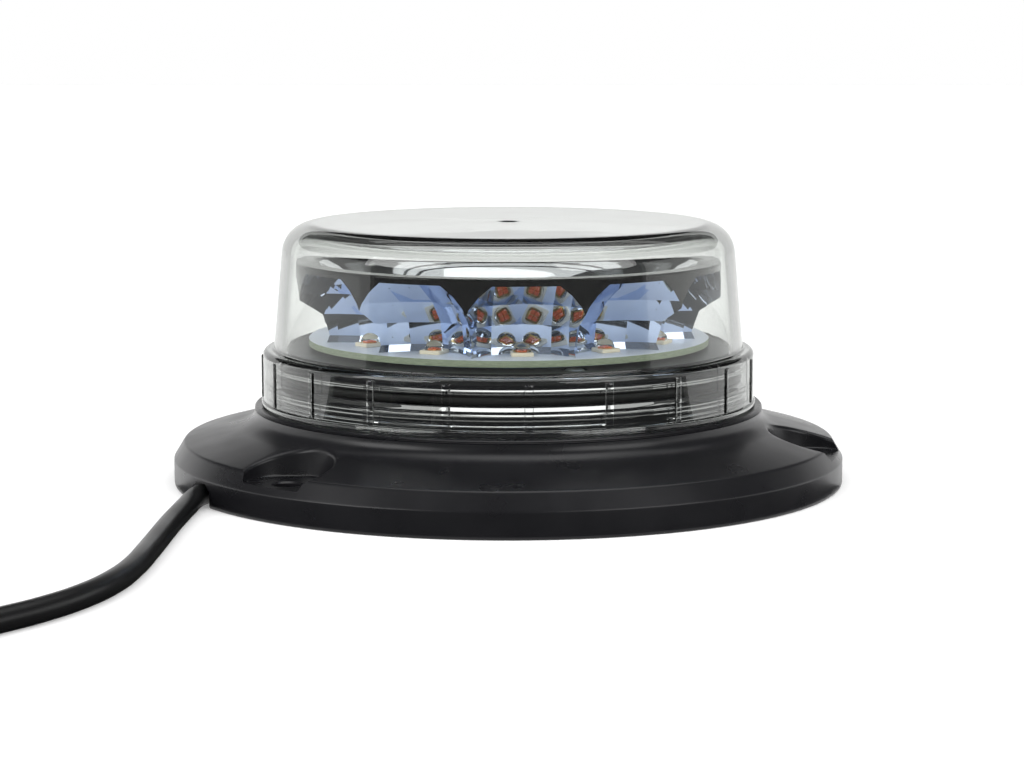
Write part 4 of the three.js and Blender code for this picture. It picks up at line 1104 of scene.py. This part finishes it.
def reflector_finish(middle, normal):
    """The number of a face's finish: 0 in the scoops, 1 where it is bare, 2 in the bowl."""
    outside = math.hypot(middle.x, middle.y) > REFLECTOR_RADIUS - 0.35
    rim = middle.z > REFLECTOR_TOP - 0.5 and normal.z > 0.5
    if outside or rim or middle.z < BOARD_TOP + 0.05:
        return 1
    inward = normal.x * middle.x + normal.y * middle.y < -1
    return 2 if inward or normal.z > 0.9 else 0


def make_reflector():
    """The metallised moulding: twelve faceted scoops, a bare outer edge and a bowl on top."""
    floor = BOARD_TOP + REFLECTOR_WALL
    lip = 0.12
    outline = [(0, BOARD_TOP), (REFLECTOR_RADIUS, BOARD_TOP)]
    outline.append((REFLECTOR_RADIUS, REFLECTOR_TOP - REFLECTOR_LIP))
    outline.append((REFLECTOR_RADIUS - lip, REFLECTOR_TOP - lip))
    outline.append((REFLECTOR_RADIUS - REFLECTOR_LIP, REFLECTOR_TOP))
    reflector = turned("reflector_looks", outline + bowl_outline(floor), 180)
    # Neighbouring scoops overlap, so every other one is cut first.
    for first in (0, 1):
        turns = [360 / LED_COUNT * i for i in range(first, LED_COUNT, 2)]
        scoops = [(scoop_cutter(HEAD_ANGLE + turn), 0) for turn in turns]
        combine(reflector, [add_object("scoops", joined("scoops", scoops))], "DIFFERENCE")
    combine(reflector, screw_holes(REFLECTOR_PLACES, BOARD_TOP, floor, 0.15), "DIFFERENCE")
    # The bowl's finish is the scoops' metal in a paler colour, a painted reflection of the white
    # room.
    finish(reflector, ["mirror", "bare", "bowl_mirror_painted_pale"], 3.5)
    for face in reflector.data.polygons:
        face.material_index = reflector_finish(face.center / MM, face.normal)
    stand_for(reflector, ["reflector"], "base")


def make_board():
    """The round LED board: white face, greenish edge and green underside."""
    board = post("led_board_looks", BOARD_RADIUS, BOARD_FOOT, BOARD_TOP, 160)
    combine(board, screw_holes(REFLECTOR_PLACES, BOARD_FOOT, BOARD_TOP), "DIFFERENCE")
    finish(board, ["mask", "laminate", "green_mask"], 30)
    for face in board.data.polygons:
        up = face.normal.z
        face.material_index = 0 if up > 0.5 else 2 if up < -0.5 else 1
    stand_for(board, ["led_board"], "base")


def led_mesh():
    """One LED: cream body with a cut corner, four dies on their plated pad, and a clear dome."""
    half, cut, top, dome_size = 2.5, 0.7, 0.9, 2.2
    pad_top, die_top = top + 0.04, top + 0.2
    pad_half, die_half = 1.25, 0.38
    die_place = 0.44  # of each die's middle, out from the pad's
    outline = [(-half, cut - half), (cut - half, -half), (half, -half), (half, half), (-half, half)]
    parts = [(soften(prism("led_body", outline, OFF_FACE, top), 0.12), 0)]
    square = [(-1.0, -1.0), (1.0, -1.0), (1.0, 1.0), (-1.0, 1.0)]
    plate = [(x * pad_half, y * pad_half) for x, y in square]
    parts.append((prism("pad", plate, top - 0.01, pad_top), 1))
    for x, y in square:
        die = [(x * die_place + a * die_half, y * die_place + b * die_half) for a, b in square]
        parts.append((prism("die", die, pad_top, die_top), 2))
    dome = [(0, top + 0.002), (dome_size, top + 0.002)]
    dome += arc(0, top, dome_size, 3, 90, 16)[:-1] + [(0, top + dome_size)]
    parts.append((turned("dome", dome, 48), 3))
    mesh = joined("led", parts)
    for name in ("package", "gold", "die", "silicone"):
        mesh.materials.append(finishes[name])
    mesh.shade_smooth()
    mesh.set_sharp_from_angle(angle=math.radians(32))
    return mesh


def make_leds():
    """Twelve LEDs under the scoops of the reflector."""
    mesh = led_mesh()
    for i in range(LED_COUNT):
        degrees = HEAD_ANGLE + 360 / LED_COUNT * i
        name = f"led_{i + 1:02d}"
        led = add_object(f"{name}_looks", mesh)
        led.location = (*polar(LED_CIRCLE * MM, degrees), BOARD_TOP * MM)
        led.rotation_euler = (0, 0, math.radians(degrees))
        stand_for(led, [name], "base")


# The underside and the screws.


def make_cover():
    """The bottom cover, with its recess and sunk screw seats."""
    recess = COVER_SEAT - COVER_RECESS_RIM
    corners = [
        (0, COVER_FACE),
        (recess - 1, COVER_FACE, 0.4),
        (recess, COVER_FOOT, 0.3),
        (COVER_SEAT, COVER_FOOT, 0.4),
        (COVER_SEAT, COVER_TOP, 0.3),
        (0, COVER_TOP),
    ]
    cover = turned("bottom_cover_looks", rounded(corners, 3), 144)
    cuts = screw_holes(COVER_PLACES, COVER_FACE, COVER_TOP)
    cuts += [post("seat", HEAD_SEAT, 0, COVER_FACE + OFF_FACE, 40, x, y) for x, y in COVER_PLACES]
    cuts.append(hole_cutter(VENT_STEM + 0.3, COVER_FACE, COVER_TOP, 0, VENT_OFFSET, 0.0, 40))
    combine(cover, cuts, "DIFFERENCE")
    finish(cover, ["nylon"], 28)
    stand_for(cover, ["bottom_cover"], "base")


def make_gasket():
    """The gasket of the bottom cover, with an eye round each screw."""
    corners = [
        (CAVITY_RADIUS, COVER_TOP),
        (COVER_SEAT, COVER_TOP, 0.3),
        (COVER_SEAT, LEDGE, 0.3),
        (CAVITY_RADIUS, LEDGE),
    ]
    gasket = turned("cover_gasket_looks", rounded(corners, 3), 128, True)
    combine(gasket, bosses(COVER_PLACES, COVER_TOP + OFF_FACE, LEDGE - OFF_FACE), "UNION")
    combine(gasket, screw_holes(COVER_PLACES, COVER_TOP, LEDGE), "DIFFERENCE")
    finish(gasket, ["rubber"], 28)
    stand_for(gasket, ["cover_gasket"], "base")


def make_vent():
    """The vent plug in the bottom cover, with a ring of six pores."""
    corners = [
        (0, COVER_FACE - 1),
        (VENT_RADIUS, COVER_FACE - 1, 0.5),
        (VENT_RADIUS, COVER_FACE),
        (VENT_STEM, COVER_FACE),
        (VENT_STEM, COVER_TOP + 0.6, 0.3),
        (0, COVER_TOP + 0.6),
    ]
    vent = turned("vent_plug_looks", rounded(corners, 4), 48, y=VENT_OFFSET)
    places = circle(PORE_CIRCLE, 0, around(6), 0, VENT_OFFSET)
    pores = [post("pore", PORE_RADIUS, 0, COVER_FACE - 0.5, 16, x, y) for x, y, _ in places]
    combine(vent, pores, "DIFFERENCE")
    finish(vent, ["rubber"], 28)
    stand_for(vent, ["vent_plug"], "base")


def make_gland():
    """The rubber gland with its short tapered tail."""
    bore, neck = 2.8, 3.6
    inner, flange = 41.4, 47.3  # distances of its two stops from the beacon's axis
    corners = [
        (bore, inner - 1.2, 0.2),
        (neck + 1, inner - 1.2, 0.4),
        (neck + 1, inner, 0.2),
        (neck, inner),
        (neck, flange),
        (5, flange, 0.3),
        (5, flange + 1.6, 0.5),
        (neck + 0.6, flange + 2.4, 0.5),
        (bore + 1, GLAND_TIP, 0.4),
        (bore, GLAND_TIP, 0.2),
    ]
    gland = turned("cable_gland_looks", rounded(corners, 3), 64, True)
    lay(gland, radial(GLAND_ANGLE, GLAND_HEIGHT))
    finish(gland, ["rubber"], 28)
    stand_for(gland, ["cable_gland"], "base")


def make_inner_cable():
    """The jacket inside the gland, and the three cores from it to the terminal block."""
    jacket = [(0, JACKET_END), (CABLE_RADIUS, JACKET_END, 0.3)]
    jacket += [(CABLE_RADIUS, GLAND_TIP), (0, GLAND_TIP)]
    inside = turned("cable_inner_looks", rounded(jacket, 3), 48)
    lay(inside, radial(GLAND_ANGLE, GLAND_HEIGHT))
    finish(inside, ["jacket"], 28)
    stand_for(inside, ["cable_inner"], "base")

    foot, end = INNER_CORE
    stripped = foot + STRAND_LENGTH
    outwards = Vector((*polar(1, GLAND_ANGLE), 0))
    corners = [
        (0, foot),
        (STRAND_RADIUS, foot),
        (STRAND_RADIUS, stripped),
        (CORE_RADIUS, stripped + 0.1, 0.1),
        (CORE_RADIUS, end),
        (0, end),
    ]
    for side, name in ((-CORE_SPACING, "red"), (0, "black"), (CORE_SPACING, "yellow")):
        core = turned(f"inner_core_{name}_looks", rounded(corners, 3), 24)
        lay(core, radial(GLAND_ANGLE, GLAND_HEIGHT) @ Matrix.Translation((0, side, 0)))
        finish(core, [f"core_{name}", "copper"], 28)
        for face in core.data.polygons:
            face.material_index = 1 if (face.center / MM).dot(outwards) < stripped + 0.05 else 0
        stand_for(core, [f"inner_core_{name}"], "base")


def screw_mesh(length):
    """A pan head screw with a six-sided drive and a shallow thread, its head's seat at height 0."""
    thread = [(0, -length), (SCREW_TIP, -length)]
    turns = int(length / THREAD_PITCH) - 1
    lows = [-length + THREAD_PITCH + THREAD_PITCH * i for i in range(turns + 1)]
    for low in lows[:-1]:
        thread += [(SCREW_CORE, low), (SCREW_RADIUS, low + THREAD_PITCH / 2)]
    thread += [(SCREW_CORE, lows[-1]), (SCREW_RADIUS, -0.2), (SCREW_RADIUS, 0)]
    corners = [
        (SCREW_RADIUS, 0),
        (HEAD_RADIUS, 0, 0.1),
        (HEAD_RADIUS, 0.9, 0.5),
        (HEAD_CROWN, HEAD_HEIGHT, 0.3),
        (0, HEAD_HEIGHT),
    ]
    screw = turned("screw", thread + rounded(corners, 3)[1:], 32)
    drive = [polar(DRIVE_RADIUS, 60 * i) for i in range(6)]
    combine(screw, [prism("drive", drive, HEAD_HEIGHT / 2, HEAD_HEIGHT * 1.5)], "DIFFERENCE")
    finish(screw, ["zinc"], 28)
    mesh = screw.data
    bpy.data.objects.remove(screw)
    return mesh


def make_screws():
    """All screws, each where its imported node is, head up or down as that has it."""
    for kind, (length, up) in SCREWS.items():
        mesh = screw_mesh(length)
        for i in (1, 2, 3):
            node = f"{kind}_{i}"
            low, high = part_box(node)
            screw = add_object(f"{node}_looks", mesh)
            seat = high.z - HEAD_HEIGHT * MM if up > 0 else low.z + HEAD_HEIGHT * MM
            screw.location = ((low.x + high.x) / 2, (low.y + high.y) / 2, seat)
            if up < 0:
                screw.rotation_euler = (math.pi, 0, 0)
            stand_for(screw, [node], "base")


# The cable.


def coil_point(turns):
    """A point of the coil's centreline, in millimetres: two loops in, a climb, and two out."""
    reverse = COIL_LOOPS / 2 - 0.25
    into = min(max(turns - reverse, 0), 0.5)
    shrink = min(turns, reverse) + into - 2 * into * into - max(turns - reverse - 0.5, 0)
    share = into / 0.5
    climb = share * share * (3 - 2 * share)
    x, y = polar(COIL_RADIUS - COIL_PITCH * shrink, COIL_START - 360 * turns)
    return Vector((COIL_CENTRE[0] + x, COIL_CENTRE[1] + y, CABLE_FLOOR + COIL_PITCH * climb))


def coil_heading(turns):
    """The direction of the cable in the coil, as if it were a plain circle."""
    return Vector((*polar(1, COIL_START - 360 * turns - 90), 0))


def tube(name, points, radius):
    """A round tube on one open smooth curve through points in millimetres."""
    curve = bpy.data.curves.new(name, "CURVE")
    curve.dimensions = "3D"
    curve.bevel_depth = radius * MM
    curve.bevel_resolution = 6
    curve.resolution_u = 6
    curve.use_fill_caps = True
    spline = curve.splines.new("BEZIER")
    spline.bezier_points.add(len(points) - 1)
    for knot, point in zip(spline.bezier_points, points):
        knot.co = Vector(point) * MM
        knot.handle_left_type = "AUTO"
        knot.handle_right_type = "AUTO"
    item = add_object(name, curve)
    bpy.context.view_layer.update()
    return item


def free_core_points(place):
    """A stripped core from the jacket's end, down on to the lower layer of the coil."""
    heading = coil_heading(COIL_LOOPS)
    middle = coil_point(COIL_LOOPS) + heading * 2 * CABLE_RADIUS
    aside = Vector((*polar(1, COIL_START), 0)) * place * CORE_SPACING
    points = [middle + heading * along + aside for along in (0.3, 0.3 + 4 * CORE_RADIUS)]
    for share in (0.3, 0.5, 0.7, 0.85, 1):
        turn = math.degrees((share * FREE_CORE_LENGTH + 2 * CABLE_RADIUS) / COIL_RADIUS)
        outwards = place * (CORE_SPACING + FREE_CORE_FAN * share) + FREE_CORE_DRIFT * share
        x, y = polar(COIL_RADIUS + outwards, COIL_START - turn)
        sink = FREE_CORE_SINK * min(1, share * 1.6)
        points.append(Vector((COIL_CENTRE[0] + x, COIL_CENTRE[1] + y, middle.z - sink)))
    return points


def make_tape():
    """One turn of thin tape round the coil, where its loops lie beside and on each other."""
    centre = Vector((*COIL_CENTRE, 0))
    faces = {thickness: [] for thickness in TAPE_FACES}
    for i in range(-6, 7):
        part = TAPE_PLACE + i * TAPE_STEP
        loops = [coil_point(part + loop) for loop in range(COIL_LOOPS)]
        flat = [((p - centre).xy.length, p.z) for p in loops]
        out = Vector((*polar(1, COIL_START - 360 * part), 0))
        for thickness, rings in faces.items():
            reach = CABLE_RADIUS + thickness
            ring = []
            for turn in around(72):
                u, v = math.cos(turn), math.sin(turn)
                r, z = max(flat, key=lambda c: c[0] * u + c[1] * v)
                point = centre + out * (r + u * reach)
                ring.append((point.x, point.y, z + v * reach))
            rings.append(ring)
    inner, outer = faces.values()
    return finish(skin("coil_tape", outer + inner[::-1], True), ["tape"], 40)


def make_cable(sizes):
    """The cable from the gland to the end of its coil, with the stripped cores and the tape."""
    points = [Vector(p) for p in CABLE_ROUTE]
    start, heading = coil_point(0), coil_heading(0)
    points += [start - heading * before for before in COIL_LEAD_IN]
    count = sizes.coil_steps * COIL_LOOPS
    points += [coil_point(COIL_LOOPS * i / count) for i in range(count + 1)]
    points.append(coil_point(COIL_LOOPS) + coil_heading(COIL_LOOPS) * 2 * CABLE_RADIUS)
    cable = tube("cable_looks", points, CABLE_RADIUS)
    finish(cable, ["jacket"])
    stand_for(cable, ["cable", "cable_coil"], "base")
    for place, name in ((-1, "red"), (0, "black"), (1, "yellow")):
        core = tube(f"free_core_{name}_looks", free_core_points(place), CORE_RADIUS)
        finish(core, [f"core_{name}"])
        stand_for(core, [f"free_core_{name}"], "base")
    tape = make_tape()
    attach(tape, "base")


# The stage.


def make_camera():
    """The photograph's point of view, with each colour shown as it is written."""
    data = bpy.data.cameras.new("camera")
    data.sensor_width = 36
    data.lens = FOCAL_LENGTH
    data.clip_start = 0.01
    camera = add_object("camera", data)
    camera.location = CAMERA_PLACE
    camera.rotation_euler = (math.radians(90 - CAMERA_DIP), 0, 0)
    bpy.context.scene.camera = camera
    bpy.context.scene.view_settings.view_transform = "Standard"


def seen_directly(tree):
    """1 for rays that come from the camera, a mirror or glass, and 0 for the others."""
    path = add_node(tree, "ShaderNodeLightPath").outputs
    seen = path["Is Camera Ray"]
    for kind in ("Is Glossy Ray", "Is Transmission Ray"):
        settings = {"operation": "MAXIMUM"}
        seen = add_node(tree, "ShaderNodeMath", settings, {0: seen, 1: path[kind]}).outputs[0]
    return seen


def bent_by_an_edge(tree):
    """1 for rays that crossed only one or two faces of the glass, as at its edge, or else 0."""
    path = add_node(tree, "ShaderNodeLightPath").outputs
    sockets = {0: path["Transmission Depth"], 1: 2.5}
    few = add_node(tree, "ShaderNodeMath", {"operation": "LESS_THAN"}, sockets).outputs[0]
    sockets = {0: few, 1: path["Is Transmission Ray"]}
    return add_node(tree, "ShaderNodeMath", {"operation": "MULTIPLY"}, sockets).outputs[0]


def make_world():
    """White as a light and where it is seen. The edge of the glass sees a darker room."""
    world = bpy.data.worlds.new("studio")
    world.use_nodes = True
    tree = world.node_tree
    tree.nodes.clear()
    sockets = {"Value": bent_by_an_edge(tree), "To Min": 1.0, "To Max": ROOM_STRENGTH}
    strength = add_node(tree, "ShaderNodeMapRange", {}, sockets).outputs["Result"]
    background = add_node(tree, "ShaderNodeBackground", {}, {"Color": WHITE, "Strength": strength})
    add_node(tree, "ShaderNodeOutputWorld", {}, {"Surface": background.outputs[0]})
    bpy.context.scene.world = world


def make_lamp(name, place, size, watts):
    """A soft box that points at the beacon."""
    data = bpy.data.lights.new(name, "AREA")
    data.shape = "RECTANGLE"
    data.size, data.size_y = size
    data.energy = watts
    lamp = add_object(name, data)
    lamp.location = place
    lamp.rotation_euler = (Vector(LAMP_TARGET) - Vector(place)).to_track_quat("-Z", "Y").to_euler()


def make_floor():
    """A pale floor that is white to the camera but keeps the beacon's soft shadow."""
    half = FLOOR_HALF
    points = [(-half, -half, 0), (half, -half, 0), (half, half, 0), (-half, half, 0)]
    floor = mesh_object("floor", points, [[0, 1, 2, 3]])
    # Matt paper, rolled: an even pale grey, lifted to white where it is seen.
    material, tree = new_material("studio_floor")
    grey = (FLOOR_GREY, FLOOR_GREY, FLOOR_GREY, 1)
    sockets = {"Color": shaded(tree, lumps(tree, 1.5, 3), grey, 0.01), "Roughness": 1.0}
    diffuse = add_node(tree, "ShaderNodeBsdfDiffuse", {}, sockets)
    glow = add_node(tree, "ShaderNodeEmission", {}, {"Color": WHITE, "Strength": FLOOR_GLOW})
    both = add_node(tree, "ShaderNodeAddShader", {}, {0: diffuse.outputs[0], 1: glow.outputs[0]})
    sockets = {0: seen_directly(tree), 1: diffuse.outputs[0], 2: both.outputs[0]}
    pale = add_node(tree, "ShaderNodeMixShader", {}, sockets)
    room = add_node(tree, "ShaderNodeEmission", {}, {"Color": WHITE, "Strength": ROOM_STRENGTH})
    sockets = {0: bent_by_an_edge(tree), 1: pale.outputs[0], 2: room.outputs[0]}
    shader = add_node(tree, "ShaderNodeMixShader", {}, sockets)
    add_node(tree, "ShaderNodeOutputMaterial", {}, {"Surface": shader.outputs[0]})
    floor.data.materials.append(material)


def make_card(name, first, second, grey):
    """A dark card between two rows of points, which shows only to rays that a mirror sent on."""
    count = len(first)
    faces = [[i, i + 1, count + i + 1, count + i] for i in range(count - 1)]
    card = mesh_object(name, first + second, faces)
    # Matt dyed card, pressed: an even dark grey.
    material, tree = new_material(name)
    dyed = shaded(tree, lumps(tree, 40, 2), (grey, grey, grey, 1), 0.1)
    black = add_node(tree, "ShaderNodeBsdfDiffuse", {}, {"Color": dyed, "Roughness": 1.0})
    gone = add_node(tree, "ShaderNodeBsdfTransparent")
    sockets = {0: add_node(tree, "ShaderNodeLightPath").outputs["Glossy Depth"], 1: 0.5}
    mirrored = add_node(tree, "ShaderNodeMath", {"operation": "GREATER_THAN"}, sockets).outputs[0]
    sockets = {0: mirrored, 1: gone.outputs[0], 2: black.outputs[0]}
    shader = add_node(tree, "ShaderNodeMixShader", {}, sockets)
    add_node(tree, "ShaderNodeOutputMaterial", {}, {"Surface": shader.outputs[0]})
    card.data.materials.append(material)
    card.visible_camera = False
    card.visible_diffuse = False
    card.visible_shadow = False


def make_cards():
    """Dark cards: behind the camera, low in front, and round and in the window over the beacon."""
    foot, top = ([(*polar(1100, a), z) for a in CARD_SWEEP_FAR] for z in (0, 450))
    make_card("card_behind_camera", foot, top, 0.2)
    near, far = ([(*polar(radius, a), 0.3) for a in CARD_SWEEP_LOW] for radius in (82, 1090))
    make_card("card_low", near, far, 0.05)
    window = [(-500, -400), (700, -400), (700, 700), (-500, 700), (-500, -400)]
    edge = [(-2600, -2600), (2600, -2600), (2600, 2600), (-2600, 2600), (-2600, -2600)]
    inner, outer = ([(x, y, CARD_HEIGHT) for x, y in row] for row in (window, edge))
    make_card("card_above", inner, outer, 0.07)
    for name, y in (("card_bar_1", 230), ("card_bar_2", 420)):
        near = [(-500, y, CARD_HEIGHT), (700, y + 40, CARD_HEIGHT)]
        far = [(-500, y + 60, CARD_HEIGHT), (700, y + 90, CARD_HEIGHT)]
        make_card(name, near, far, 0.02)


# Operators and panel.


class BEACON_OT_stage(bpy.types.Operator):
    """Sets up the camera, the world, the lamps, the floor and the cards"""

    bl_idname = "beacon.stage"
    bl_label = "Stage"

    def execute(self, context):
        make_camera()
        make_world()
        for lamp in LAMPS:
            make_lamp(*lamp)
        make_floor()
        make_cards()
        return {"FINISHED"}


class BEACON_OT_materials(bpy.types.Operator):
    """Makes all finishes of the beacon"""

    bl_idname = "beacon.materials"
    bl_label = "Materials"

    def execute(self, context):
        finishes.update(make_materials(context.scene.beacon_colours, context.scene.beacon_sizes))
        return {"FINISHED"}


class BEACON_OT_cable(bpy.types.Operator):
    """Lays the cable, its coil, the stripped cores and the tape"""

    bl_idname = "beacon.cable"
    bl_label = "Cable"

    def execute(self, context):
        make_cable(context.scene.beacon_sizes)
        return {"FINISHED"}


class BEACON_OT_housing(bpy.types.Operator):
    """Builds the black base with its wells and webs"""

    bl_idname = "beacon.housing"
    bl_label = "Base housing"

    def execute(self, context):
        make_housing()
        return {"FINISHED"}


class BEACON_OT_spigot(bpy.types.Operator):
    """Builds the spigot inside the collar and its seal"""

    bl_idname = "beacon.spigot"
    bl_label = "Spigot and seal"

    def execute(self, context):
        make_spigot()
        return {"FINISHED"}


class BEACON_OT_lens(bpy.types.Operator):
    """Builds the clear lens"""

    bl_idname = "beacon.lens"
    bl_label = "Lens"

    def execute(self, context):
        make_lens(context.scene.beacon_sizes)
        return {"FINISHED"}


class BEACON_OT_reflector(bpy.types.Operator):
    """Builds the faceted, metallised reflector"""

    bl_idname = "beacon.reflector"
    bl_label = "Reflector"

    def execute(self, context):
        make_reflector()
        return {"FINISHED"}


class BEACON_OT_leds(bpy.types.Operator):
    """Builds the LED board and its LEDs"""

    bl_idname = "beacon.leds"
    bl_label = "Board and LEDs"

    def execute(self, context):
        make_board()
        make_leds()
        return {"FINISHED"}


class BEACON_OT_underside(bpy.types.Operator):
    """Builds the bottom cover, gasket, vent, cable gland and the cable's inner end"""

    bl_idname = "beacon.underside"
    bl_label = "Underside"

    def execute(self, context):
        make_cover()
        make_gasket()
        make_vent()
        make_gland()
        make_inner_cable()
        return {"FINISHED"}


class BEACON_OT_screws(bpy.types.Operator):
    """Builds all screws"""

    bl_idname = "beacon.screws"
    bl_label = "Screws"

    def execute(self, context):
        make_screws()
        return {"FINISHED"}


class BEACON_OT_inside(bpy.types.Operator):
    """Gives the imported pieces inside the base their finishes"""

    bl_idname = "beacon.inside"
    bl_label = "Inner pieces"

    def execute(self, context):
        for node, name in KEPT_NODES.items():
            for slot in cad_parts[node].material_slots:
                slot.material = finishes[name]
        return {"FINISHED"}


OPERATORS = (
    BEACON_OT_stage,
    BEACON_OT_materials,
    BEACON_OT_cable,
    BEACON_OT_housing,
    BEACON_OT_spigot,
    BEACON_OT_lens,
    BEACON_OT_reflector,
    BEACON_OT_leds,
    BEACON_OT_underside,
    BEACON_OT_screws,
    BEACON_OT_inside,
)


class BEACON_PT_panel(bpy.types.Panel):
    """Lists the steps that build the beacon"""

    bl_idname = "BEACON_PT_panel"
    bl_label = "Beacon"
    bl_space_type = "VIEW_3D"
    bl_region_type = "UI"
    bl_category = "Beacon"

    def draw(self, context):
        for group in (context.scene.beacon_sizes, context.scene.beacon_colours):
            for name in group.__annotations__:
                self.layout.prop(group, name)
        for operator in OPERATORS:
            self.layout.operator(operator.bl_idname)


CLASSES = (BeaconSizes, BeaconColours, *OPERATORS, BEACON_PT_panel)


def register():
    """Registers the classes and the settings of the scene."""
    for item in CLASSES:
        bpy.utils.register_class(item)
    bpy.types.Scene.beacon_sizes = bpy.props.PointerProperty(type=BeaconSizes)
    bpy.types.Scene.beacon_colours = bpy.props.PointerProperty(type=BeaconColours)


def unregister():
    """Takes away what register added."""
    del bpy.types.Scene.beacon_colours
    del bpy.types.Scene.beacon_sizes
    for item in reversed(CLASSES):
        bpy.utils.unregister_class(item)


def main():
    register()
    bpy.ops.beacon.stage()
    bpy.ops.beacon.materials()
    bpy.ops.beacon.cable()
    bpy.ops.beacon.housing()
    bpy.ops.beacon.spigot()
    bpy.ops.beacon.lens()
    bpy.ops.beacon.reflector()
    bpy.ops.beacon.leds()
    bpy.ops.beacon.underside()
    bpy.ops.beacon.screws()
    bpy.ops.beacon.inside()


if __name__ == "__main__":
    main()
